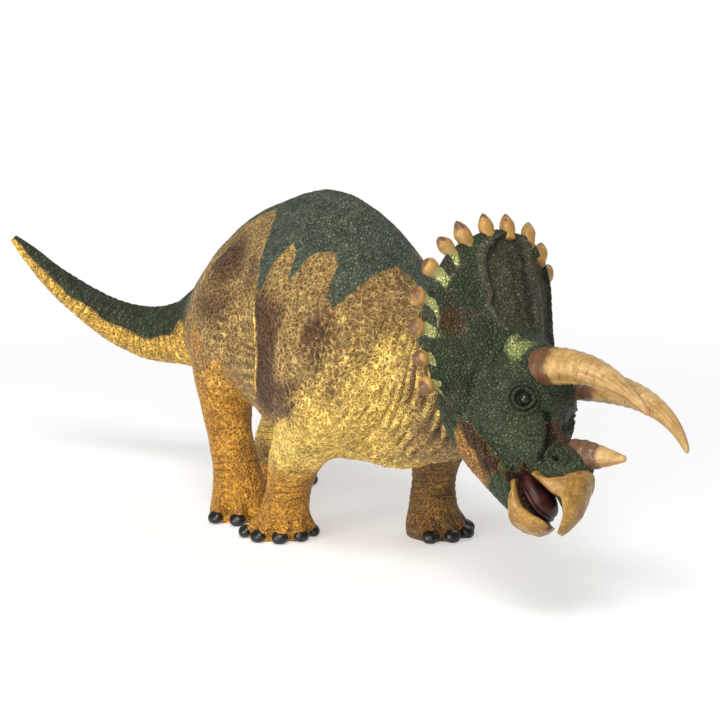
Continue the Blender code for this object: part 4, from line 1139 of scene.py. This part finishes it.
def makeFrill():
    # each ring goes up the front from the buried root, over the rounded rim, and down the back
    (root, rim), share = frillLines(frillShape["rings"])
    turn = fullTurn(frillShape["around"])[None]
    outward = unit(rim - root)
    inner = root - outward * frillShape["buried"]
    length = np.linalg.norm(rim - inner, axis=1)[:, None]
    facing = unit(np.cross(np.gradient(rim, axis=0), outward))
    facing = facing * np.sign(facing[:, :1].mean())
    part = np.clip(0.5 - 0.5 * np.cos(turn) + 0 * length, 0, 1)
    front = np.sin(turn) > 0
    across = np.abs(np.sin(turn)) ** 0.55
    corner = ramp(0, 0.05, np.minimum(share, 1 - share))[:, None]
    thick = frillShape["thickness"] / 2 * (0.45 + 0.55 * corner) * (1.25 - 0.25 * part)
    sheet = inner[:, None] + outward[:, None] * (part * length)[..., None]
    side = share[:, None] * 2 - 1
    aside = np.abs(side)
    within = ramp(0.18, 0.30, part) * ramp(0.985, 0.92, part)
    start, full = frillShape["lobeStart"]
    end = readRows(part, frillShape["lobeEnd"])
    fading = end - 0.05
    wander = 0.02 * softNoise(np.stack([aside * 9 + 0 * part, part * 9, 0 * part], -1), 1.0, 84)
    away = aside + wander
    near = np.abs(side + frillShape["ribAside"]) + wander
    window = ramp(start, full, near) * ramp(end, fading, away) * within
    mid = hump(near, 0, 0.03)
    windowRim = hump(away, end + 0.025, 0.028) * ramp(0.15, 0, side) + 0.6 * hump(near, start, 0.02)
    windowRim = windowRim * within
    windowEdge = (hump(away, fading + 0.03, 0.016) + hump(near, full - 0.025, 0.012)) * within
    bulge = np.exp(-(((aside - 0.68) / 0.2) ** 2)) * within * ramp(0.3, 0, side)
    ribs = softNoise(np.stack([side * 14 + 0 * part, part * 2.2, 0 * part], -1), 1.0, 81)
    frontShape = (0.8 * mid + 0.35 * ribs) * within + 1.1 * (windowRim + bulge)
    frontShape = frontShape - frillShape["lobeDepth"] * window
    places = spikePlaces()
    nearest = np.min(np.abs(share[:, None] - places[None]), axis=1)[:, None]
    spikeBeat = np.cos(math.pi * np.minimum(nearest / 0.026, 1)) * ramp(0.84, 0.97, part)
    height = np.where(front, across * thick + frontShape * across, -across * thick)
    backShape = -0.3 * bulge + 0.25 * ribs
    height = np.where(front, height, height + backShape * across)
    grid = sheet + facing[:, None] * height[..., None]
    grid = grid + outward[:, None] * (spikeBeat * 0.2 * across)[..., None]
    centre = inner + outward * length / 2
    normal = gridNormals(grid, centre[:, None])
    fine, cells = hideRelief(grid, 0.15, 1.0, ())[:2]
    fade = ramp(0, 0.02, np.minimum(share, 1 - share))[:, None]
    grid = grid + normal * (fine * fade)[..., None]
    clouds = softNoise(grid, 7, 82) + 0.5 * softNoise(grid, 3, 83)
    # the wash along the windows' edges and in the cells is partly painted shade
    valley = np.clip(cells * 0.8 + 0.9 * windowEdge * front, 0, 1)
    red = hump(aside, 0.66, 0.13) * hump(part, 0.68, 0.24) * (0.55 + 0.5 * clouds)
    red = np.where(front, red, 0.55 + 0.3 * clouds)
    grey = np.where(front, np.clip(window + windowRim + mid * within, 0, 1) * 0.9, 0.2)
    drips = ramp(0.80, 0.93, part + 0.05 * clouds) * ramp(0.0, 0.5, spikeBeat * 1.2 + 0.4 * clouds)
    drips = drips * ramp(0.30, 0.5, aside)
    streaks = ramp(0.1, 0.7, softNoise(np.stack([side * 26 + 0 * part, part * 3, 0 * part], -1), 1.0, 85))
    streaks = streaks * ramp(0.55, 0.85, part) * ramp(0.42, 0.6, aside) * 0.35
    x, y, z = np.moveaxis(grid, -1, 0)
    nearHorn = np.linalg.norm(np.stack([x - 10.5, np.abs(y) - 9.2, z + 3.0], -1), axis=-1)
    light = np.maximum(np.maximum(drips, streaks), 0.85 * ramp(7.5, 3.0, nearHorn + clouds) * front)
    mottle = 0.7 * ramp(0.1, 0.8, softNoise(grid, 5, 86) + 0.4 * clouds) * ramp(0.2, 0.5, part)
    masks = zones(1.0 + 0 * part, np.maximum(grey, mottle), red, light, 0.1, valley)
    frill = putSkin("frillSkin", fromHead(grid), fromHead(centre[[0, -1]]), frillFinish, masks)
    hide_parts("head")


# Horn finish: brown root, ochre shaft with fine streaks and ring cracks, read from each horn's own masks
def hornPaint(name, paints, roughness=0.36):
    made, tree, shader = newFinish(name, roughness, 0.15)
    place = objectPlace(tree)
    root, streak, crack = masksOf(tree, "hornMasks")
    clouds = noisy(tree, place, 0.004)
    grains = noisy(tree, place, 0.0009, 2.0)
    ragged = times(tree, minus(tree, clouds, 0.5), 0.9)
    colour = mixed(tree, ranged(tree, clouds, 0.35, 0.68), paints["shaft"], paints["deep"])
    colour = mixed(tree, times(tree, ranged(tree, grains, 0.5, 0.75), 0.35), colour, paints["light"])
    colour = mixed(tree, times(tree, streak, 0.55), colour, paints["streak"])
    rootEdge = plus(tree, root, ragged)
    colour = mixed(tree, times(tree, ranged(tree, rootEdge, 0.25, 0.75), 0.92), colour, paints["root"])
    colour = mixed(tree, times(tree, crack, 0.8), colour, paints["crack"])
    tree.links.new(colour, shader.inputs["Base Color"])
    bumped(tree, shader, plus(tree, grains, times(tree, clouds, 0.6)), 0.5, 0.00012)
    return made


hornPaints = {
    "shaft": (0.49, 0.305, 0.11, 1), "deep": (0.34, 0.19, 0.055, 1), "light": (0.66, 0.48, 0.23, 1),
    "streak": (0.22, 0.115, 0.035, 1), "root": (0.105, 0.046, 0.026, 1), "crack": (0.07, 0.035, 0.02, 1),
}
hornFinish = hornPaint("painted horn", hornPaints)
spikePaints = dict(
    hornPaints, shaft=(0.42, 0.235, 0.058, 1), deep=(0.33, 0.17, 0.04, 1), light=(0.62, 0.42, 0.17, 1),
    root=(0.13, 0.055, 0.022, 1), crack=(0.40, 0.42, 0.17, 1),
)
spikeFinish = hornPaint("painted spike", spikePaints, 0.42)
beakPaints = dict(
    hornPaints, shaft=(0.33, 0.178, 0.033, 1), deep=(0.21, 0.10, 0.017, 1), root=(0.050, 0.016, 0.010, 1)
)
beakFinish = hornPaint("painted beak", beakPaints, 0.4)

horns = {
    "brow_horn_right": {
        "root": (18.9, -8.25, 0.7), "tip": (52.7, -9.05, 19.9), "bow": (-1.68, -2.16, 3.84), "width": 10.8,
    },
    "brow_horn_left": {
        "root": (18.9, 7.0, 2.6), "tip": (55.5, 11.45, 18.9), "bow": (-1.68, 2.16, 5.6), "width": 9.4,
    },
    "nose_horn": {"root": (43.8, 0, -3.85), "tip": (53.2, 0, 6.3), "bow": (0, 0, 0), "width": 8.5},
}
hornDetail = {"rings": 220, "around": 128, "tipWidth": 1.5, "seat": 2.6}


def makeHorn(name):
    # rings square to a bowed middle line, narrowing by a power of the place along it
    shape = horns[name]
    root, tip, bow = (np.array(shape[key], float) for key in ("root", "tip", "bow"))
    reach = np.linalg.norm(tip - root)
    share = np.linspace(-hornDetail["seat"] / reach, 1, hornDetail["rings"])
    middle = root + (tip - root) * share[:, None] + bow * (4 * share * (1 - share))[:, None]
    taper = np.maximum(share, 0) ** 1.3
    radius = shape["width"] / 2 * (1 - taper) + hornDetail["tipWidth"] / 2 * taper
    radius = radius * np.sqrt(1 - np.clip((share - 0.955) / 0.05, 0, 0.985) ** 2)
    along = unit(np.gradient(middle, axis=0))
    side = unit(np.cross((0, 0, 1.0), along))
    lift = np.cross(along, side)
    turn = fullTurn(hornDetail["around"])
    cosine, sine = np.cos(turn), np.sin(turn)
    run, flat = share * reach, 0 * share[:, None]
    rows = np.stack([run[:, None] * 0.10 + 0 * turn, cosine * 4.2 + flat, sine * 4.2 + flat], -1)
    streaks = softNoise(rows, 1.0, 91) + 0.5 * softNoise(rows * (1, 2.2, 2.2), 1.0, 92)
    bend = run[:, None] + 0.7 * np.cos(turn + 0.7) + 0.5 * softNoise(rows * (3, 1, 1), 1.0, 93)
    big = ramp(3.2, 9, np.full_like(bend, reach)) * ramp(0.72, 0.45, share)[:, None]
    crackAt = np.abs((bend / 2.9 + 0.5) % 1 - 0.5) * 2.9
    crack = hump(crackAt, 0, 0.16) * ramp(-0.1, 0.45, softNoise(rows * (4, 1, 1), 1.0, 94)) * big
    swell = 0.10 * np.cos(2 * math.pi * bend / 2.9) * big
    uneven = 0.13 * streaks * ramp(0, 0.12, share)[:, None] * (radius[:, None] / 5)
    skin = radius[:, None] + uneven - 0.22 * crack + swell
    sides = side[:, None] * cosine[:, None] + lift[:, None] * sine[:, None]
    grid = middle[:, None] + sides * skin[..., None]
    rootMask = ramp(*((0.62, 0.30) if name == "nose_horn" else (0.20, 0.04)), share)[:, None] + 0 * turn
    masks = {"hornMasks": np.clip(np.stack([rootMask, ramp(0.1, 0.8, -streaks), crack], -1), 0, 1)}
    end = middle[-1] + along[-1] * radius[-1] * 0.4
    tips = np.stack([middle[0], end])
    piece = putSkin(pieceName(name), fromHead(grid), fromHead(tips), hornFinish, masks)
    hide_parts(name)


spikes = {"length": 5.3, "width": 5.0, "rings": 34, "around": 32}
spikeProfiles = {
    "at": (-0.3, 0.12, 0.34, 0.52, 0.68, 0.83, 0.94, 1.0),
    "cone": (0.80, 1.0, 0.96, 0.84, 0.66, 0.47, 0.29, 0.09),
    "knob": (0.40, 0.74, 1.0, 1.08, 1.02, 0.80, 0.48, 0.14),
}


def spikePlaces():
    # shares of the rim's length where its rows lie, one for each spike
    run = lengthRun(rimLines(900)[1])
    return run[:: 900 // (len(frillShape["rim"]) - 1)] / run[-1]


def makeSpikes():
    # teeth along the rim, square to it and pointing away from a place before its middle: slim cones at the
    # top of the frill, blunter knobs with a narrow neck down its sides
    (root, rim), share = frillLines(900)
    middleAt = len(share) // 2
    centre = root[middleAt] + (rim[middleAt] - root[middleAt]) * frillShape["centreShare"]
    points, quads, fans, masks, count = [], [], [], [], 0
    rings, around = spikes["rings"], spikes["around"]
    rise = np.linspace(-0.5, 1, rings)[:, None]
    turn = fullTurn(around)[None]
    places = spikePlaces()
    atRim = lambda place: np.array([np.interp(place, share, rim[:, k]) for k in range(3)])
    for number, place in enumerate(places):
        foot = atRim(place)
        step = unit(atRim(min(place + 0.01, 1)) - atRim(max(place - 0.01, 0)))
        outward = foot - centre
        outward = unit(outward - step * (outward @ step))
        facing = np.cross(step, outward)
        vary = scatter(np.array([number, 3, 7]), 97)
        fromTop = abs(number - (len(places) - 1) / 2)
        knob = float(ramp(2.5, 6.0, np.array(fromTop)))
        profile = [a + (b - a) * knob for a, b in zip(spikeProfiles["cone"], spikeProfiles["knob"])]
        wide = np.interp(rise[:, 0], spikeProfiles["at"], profile)[:, None]
        size = 1 + 0.14 * (vary[0] - 0.5)
        length = spikes["length"] * size * (1 - 0.14 * knob)
        bend = (vary[1] - 0.5) * 0.9 * rise**2
        cosine, sine = np.cos(turn) + 0 * rise, np.sin(turn) + 0 * rise
        local = np.stack([rise * 4 + number * 5 + 0 * turn, cosine * 1.2, sine * 1.2], -1)
        rough = 1 + 0.06 * softNoise(local, 0.8, 98)
        half = spikes["width"] / 2 * wide * size * rough
        middle = foot + outward * (rise * length)[..., None] + step * bend[..., None]
        tooth = middle + step * (half * cosine)[..., None] + facing * (0.84 * half * sine)[..., None]
        tips = np.stack([foot - outward * length * 0.5, middle[-1, 0] + outward * 0.04 * length])
        for faces, made in zip((quads, fans), ringFaces(rings, around, count)):
            faces.append(made)
        points += [tooth.reshape(-1, 3), tips]
        tipMask = ramp(0.40, 0.95, rise + 0.3 * softNoise(local, 1.0, 99)) * 0.8
        streak = ramp(0.0, 0.8, softNoise(local * (0.4, 3, 3), 1.0, 96))
        neck = ramp(0.35, 0.10, rise) * knob + 0 * turn
        masks.append(np.stack([tipMask, streak * 0.6, neck], -1).reshape(-1, 3))
        masks.append(np.array([[0, 0, 0], [0.8, 0, 0]]))
        count += rings * around + 2
    paint = {"hornMasks": np.clip(np.vstack(masks), 0, 1)}
    points, quads, fans = (np.vstack(part) for part in (points, quads, fans))
    piece = putMesh("frillSpikes", fromHead(points), quads, fans, spikeFinish, paint)


# Beaks: forward, top, lower edge, half width; and how far forward the horny cover starts at each height
beaks = {
    "upper": {
        "rows": (
            (38.5, -6.0, -18.8, 9.0), (41.0, -4.0, -18.2, 9.0), (43.0, -3.2, -17.4, 8.9),
            (46.0, -3.6, -16.6, 8.9), (49.0, -4.4, -15.6, 8.2), (51.5, -5.8, -14.8, 7.2),
            (54.0, -8.2, -13.3, 5.8), (56.2, -10.7, -14.0, 4.4), (58.0, -13.2, -15.6, 3.1),
            (59.3, -15.8, -18.0, 1.9), (59.9, -17.8, -19.7, 0.8),
        ),
        "edge": (
            (-19.5, 39.6), (-18.0, 40.4), (-16.4, 43.8), (-14.4, 46.8), (-12.0, 49.2), (-9.0, 50.0),
            (-6.5, 49.6), (-3.0, 48.8),
        ),
        "widest": 0.16, "peak": 1.12,
    },
    "lower": {
        "rows": (
            (38.5, -19.6, -29.2, 9.2), (42.0, -20.2, -29.4, 9.6), (44.5, -21.3, -29.2, 9.5),
            (47.5, -22.3, -28.9, 9.0), (50.5, -22.8, -28.4, 8.0), (52.4, -22.3, -27.6, 6.4),
            (54.2, -21.4, -26.2, 4.6), (55.3, -20.8, -24.4, 2.9), (56.0, -20.9, -22.8, 1.4),
        ),
        "edge": ((-29.5, 51.0), (-26.5, 49.3), (-23.8, 46.2), (-21.3, 43.0), (-19.3, 40.8)),
        "widest": 0.80, "peak": 0.8,
    },
}
beakDetail = {"rings": 150, "around": 180, "lip": 0.55}


def makeBeak(which):
    # slices across the head; behind its edge the cover dives under the hide, and the edge is a raised lip
    shape = beaks[which]
    table = evenTable(shape["rows"], beakDetail["rings"], 2)
    forward, top, under, half = (column[:, None] for column in table.T)
    middle = under + (top - under) * shape["widest"]
    turn = fullTurn(beakDetail["around"])[None]
    cosine, sine = np.cos(turn), np.sin(turn)
    up = cosine > 0
    flatSide = up if which == "lower" else ~up
    across = flattened(sine, np.where(flatSide, 0.55, shape["peak"]))
    reach = np.where(up, top - middle, middle - under)
    grid = np.stack([forward + 0 * turn, half * across, middle + reach * cosine], -1)
    centre = np.stack([table[:, 0], 0 * table[:, 0], middle[:, 0]], 1)
    scoop = ramp(0.75, 0.2, np.abs(across)) * ramp(table[-1, 0] - 1.5, table[-1, 0] - 5, forward)
    grid[..., 2] += np.where(flatSide, (-2.6 if which == "lower" else 1.6) * scoop, 0)
    normal = gridNormals(grid, centre[:, None])
    past = grid[..., 0] - readRows(grid[..., 2], shape["edge"]) + 0.35 * softNoise(grid, 2.4, 101)
    sunk = ramp(0.15, -0.7, past) * 2.2
    lip = beakDetail["lip"] * hump(past, 0.55, 0.5) * ~flatSide
    clouds = softNoise(grid, 3.2, 102) + 0.5 * softNoise(grid, 1.4, 103)
    streaks = softNoise(grid * (0.5, 1.6, 0.5), 1.3, 104)
    keep = ramp(table[-1, 0], table[-1, 0] - 2, forward)
    height = 0.35 + lip + (0.16 * clouds + 0.08 * streaks) * keep - sunk
    height = np.where(flatSide & (np.abs(across) < 0.9), np.minimum(height, 0), height)
    grid = grid + normal * height[..., None]
    inside = flatSide * ramp(0.92, 0.72, np.abs(across)) * ramp(58.5, 55, grid[..., 0])
    crease = hump(past, 0.05, 0.22) * ~flatSide
    deep = inside * 1.4 + 0.45 * ramp(0.5, 1.1, clouds)
    paint = np.stack([deep, ramp(0.2, 0.9, streaks) * 0.5, crease], -1)
    tips = np.stack([centre[0], centre[-1] + [0.25, 0, 0]])
    masks = {"hornMasks": np.clip(paint, 0, 1)}
    piece = putSkin(which + "Beak", fromHead(grid), fromHead(tips), beakFinish, masks)


# the mouth's own dark red, taken nearly to black as painted shade inside the mouth; used for the tongue and the
# lining
mouthRedAndShade = mottledFinish(
    "dark red mouth", 0.42, 0.3, 0.0025, (0.35, 0.7),
    ((0.016, 0.004, 0.003, 1), (0.065, 0.014, 0.010, 1)), 0.0003
)
eyeFinish = mottledFinish(
    "dark eye", 0.25, 0.4, 0.0012, (0.4, 0.8),
    ((0.008, 0.012, 0.008, 1), (0.025, 0.032, 0.016, 1)), 0
)


def makeEgg(name, middle, sizes, finish, node, tipDown=0.0):
    # closed egg: half sizes along, across and up, with its front bent down
    polar = np.linspace(0, math.pi, 50)[1:-1, None]
    turn = fullTurn(64)[None]
    along, wide = np.cos(polar) + 0 * turn, np.sin(polar) ** 0.8
    grid = np.stack([along, wide * np.cos(turn), wide * np.sin(turn)], -1) * sizes
    grid[..., 2] -= tipDown * ramp(0.2, 1, along)
    grid[..., 2] -= 0.25 * sizes[2] * hump(grid[..., 1], 0, sizes[1] * 0.2) * ramp(0.9, 0.2, np.abs(along))
    tips = np.array([[sizes[0], 0, -tipDown], [-sizes[0], 0, 0]])
    piece = putSkin(name, fromHead(grid + middle), fromHead(tips + middle), finish)
    if node:
        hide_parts(node)


makeSkull()
makeJaw()
makeFrill()
makeSpikes()
for name in horns:
    makeHorn(name)
for which in beaks:
    makeBeak(which)
makeEgg("tongueForm", np.array([46.6, 0, -20.6]), (6.8, 6.9, 1.5), mouthRedAndShade, "tongue", 0.3)
# the lining fills the mouth behind the beaks with that dark red, partly the mouth's own colour and partly painted
# shade for its depth
makeEgg("mouthShadeLining", np.array([45.5, 0, -19.6]), (7.6, 6.4, 3.4), mouthRedAndShade, None)
for side in (-1, 1):
    eye = np.array(face["eye"]) * (1, side, 1) - (0, side * 0.9, 0)
    sizes = (face["eyeSize"], 1.7, face["eyeSize"] * 0.9)
    makeEgg("eyeRight" if side < 0 else "eyeLeft", eye, sizes, eyeFinish, None)
print("head, frill, horns, beaks, mouth and eyes are in place")


# Camera, lamps, floor and backdrop
view = {"target": (4.4, 6.2, 52.6), "away": 800.0, "azimuth": 55.0, "height": 12.0, "lens": 132.0}
turn, tilt = math.radians(view["azimuth"]), math.radians(view["height"])
towards = np.array([math.sin(turn) * math.cos(tilt), -math.cos(turn) * math.cos(tilt), math.sin(tilt)])
cameraData = bpy.data.cameras.new("camera")
cameraData.lens = view["lens"]
cameraData.sensor_width = 36.0
cameraData.clip_end = 20.0
camera = bpy.data.objects.new("camera", cameraData)
target = (np.array(view["target"]) + layoutShift) * mm
camera.location = target + towards * view["away"] * mm
camera.rotation_euler = Vector(towards).to_track_quat("Z", "Y").to_euler()
bpy.context.scene.collection.objects.link(camera)
bpy.context.scene.camera = camera

lamps = {
    "keyLamp": {"at": (0.50, -0.45, 1.00), "size": 0.45, "watts": 8.5},
    "fillLamp": {"at": (0.55, -0.95, 0.42), "size": 1.0, "watts": 7.5},
    "lowLamp": {"at": (0.12, -0.75, 0.11), "size": 0.3, "watts": 2.8},
    "backLamp": {"at": (-0.35, 0.75, 0.85), "size": 0.8, "watts": 2.6},
}
for name, lamp in lamps.items():
    data = bpy.data.lights.new(name, "AREA")
    data.size = lamp["size"]
    data.energy = lamp["watts"]
    lampObject = bpy.data.objects.new(name, data)
    lampObject.location = lamp["at"]
    lampObject.rotation_euler = (Vector(lamp["at"]) - Vector((0, 0, 0.04))).to_track_quat("Z", "Y").to_euler()
    bpy.context.scene.collection.objects.link(lampObject)

world = bpy.data.worlds.new("studio")
world.use_nodes = True
bpy.context.scene.world = world
sky = world.node_tree
skyShade = sky.nodes["Background"]
skyShade.inputs["Color"].default_value = (1.0, 0.97, 0.93, 1)
skyShade.inputs["Strength"].default_value = 0.26
whiteShade = sky.nodes.new("ShaderNodeBackground")
whiteShade.inputs["Color"].default_value = (1, 1, 1, 1)
rays = sky.nodes.new("ShaderNodeLightPath")
mixShade = sky.nodes.new("ShaderNodeMixShader")
sky.links.new(rays.outputs["Is Camera Ray"], mixShade.inputs["Fac"])
sky.links.new(skyShade.outputs[0], mixShade.inputs[1])
sky.links.new(whiteShade.outputs[0], mixShade.inputs[2])
sky.links.new(mixShade.outputs[0], sky.nodes["World Output"].inputs["Surface"])

floorMesh = bpy.data.meshes.new("floor")
corners = [(x, y, -0.0002) for x, y in ((-3, -3), (3, -3), (3, 3), (-3, 3))]
floorMesh.from_pydata(corners, [], [(0, 1, 2, 3)])
floor = bpy.data.objects.new("floor", floorMesh)
bpy.context.scene.collection.objects.link(floor)
# the floor glows a little, and turns to plain white away from the figure
floorPaint, floorTree, floorShader = newFinish("pale floor", 0.8)
floorShader.inputs["Base Color"].default_value = (0.62, 0.62, 0.62, 1)
floorShader.inputs["Emission Color"].default_value = (1, 1, 1, 1)
floorShader.inputs["Emission Strength"].default_value = 0.42
farAway = floorTree.nodes.new("ShaderNodeVectorMath")
farAway.operation = "LENGTH"
floorTree.links.new(objectPlace(floorTree), farAway.inputs[0])
farShade = floorTree.nodes.new("ShaderNodeEmission")
floorMix = floorTree.nodes.new("ShaderNodeMixShader")
floorTree.links.new(ranged(floorTree, farAway.outputs["Value"], 0.16, 0.42), floorMix.inputs["Fac"])
floorTree.links.new(floorShader.outputs[0], floorMix.inputs[1])
floorTree.links.new(farShade.outputs[0], floorMix.inputs[2])
floorTree.links.new(floorMix.outputs[0], floorTree.nodes["Material Output"].inputs["Surface"])
floorMesh.materials.append(floorPaint)

bpy.context.scene.view_settings.view_transform = "Standard"
print("scene made")
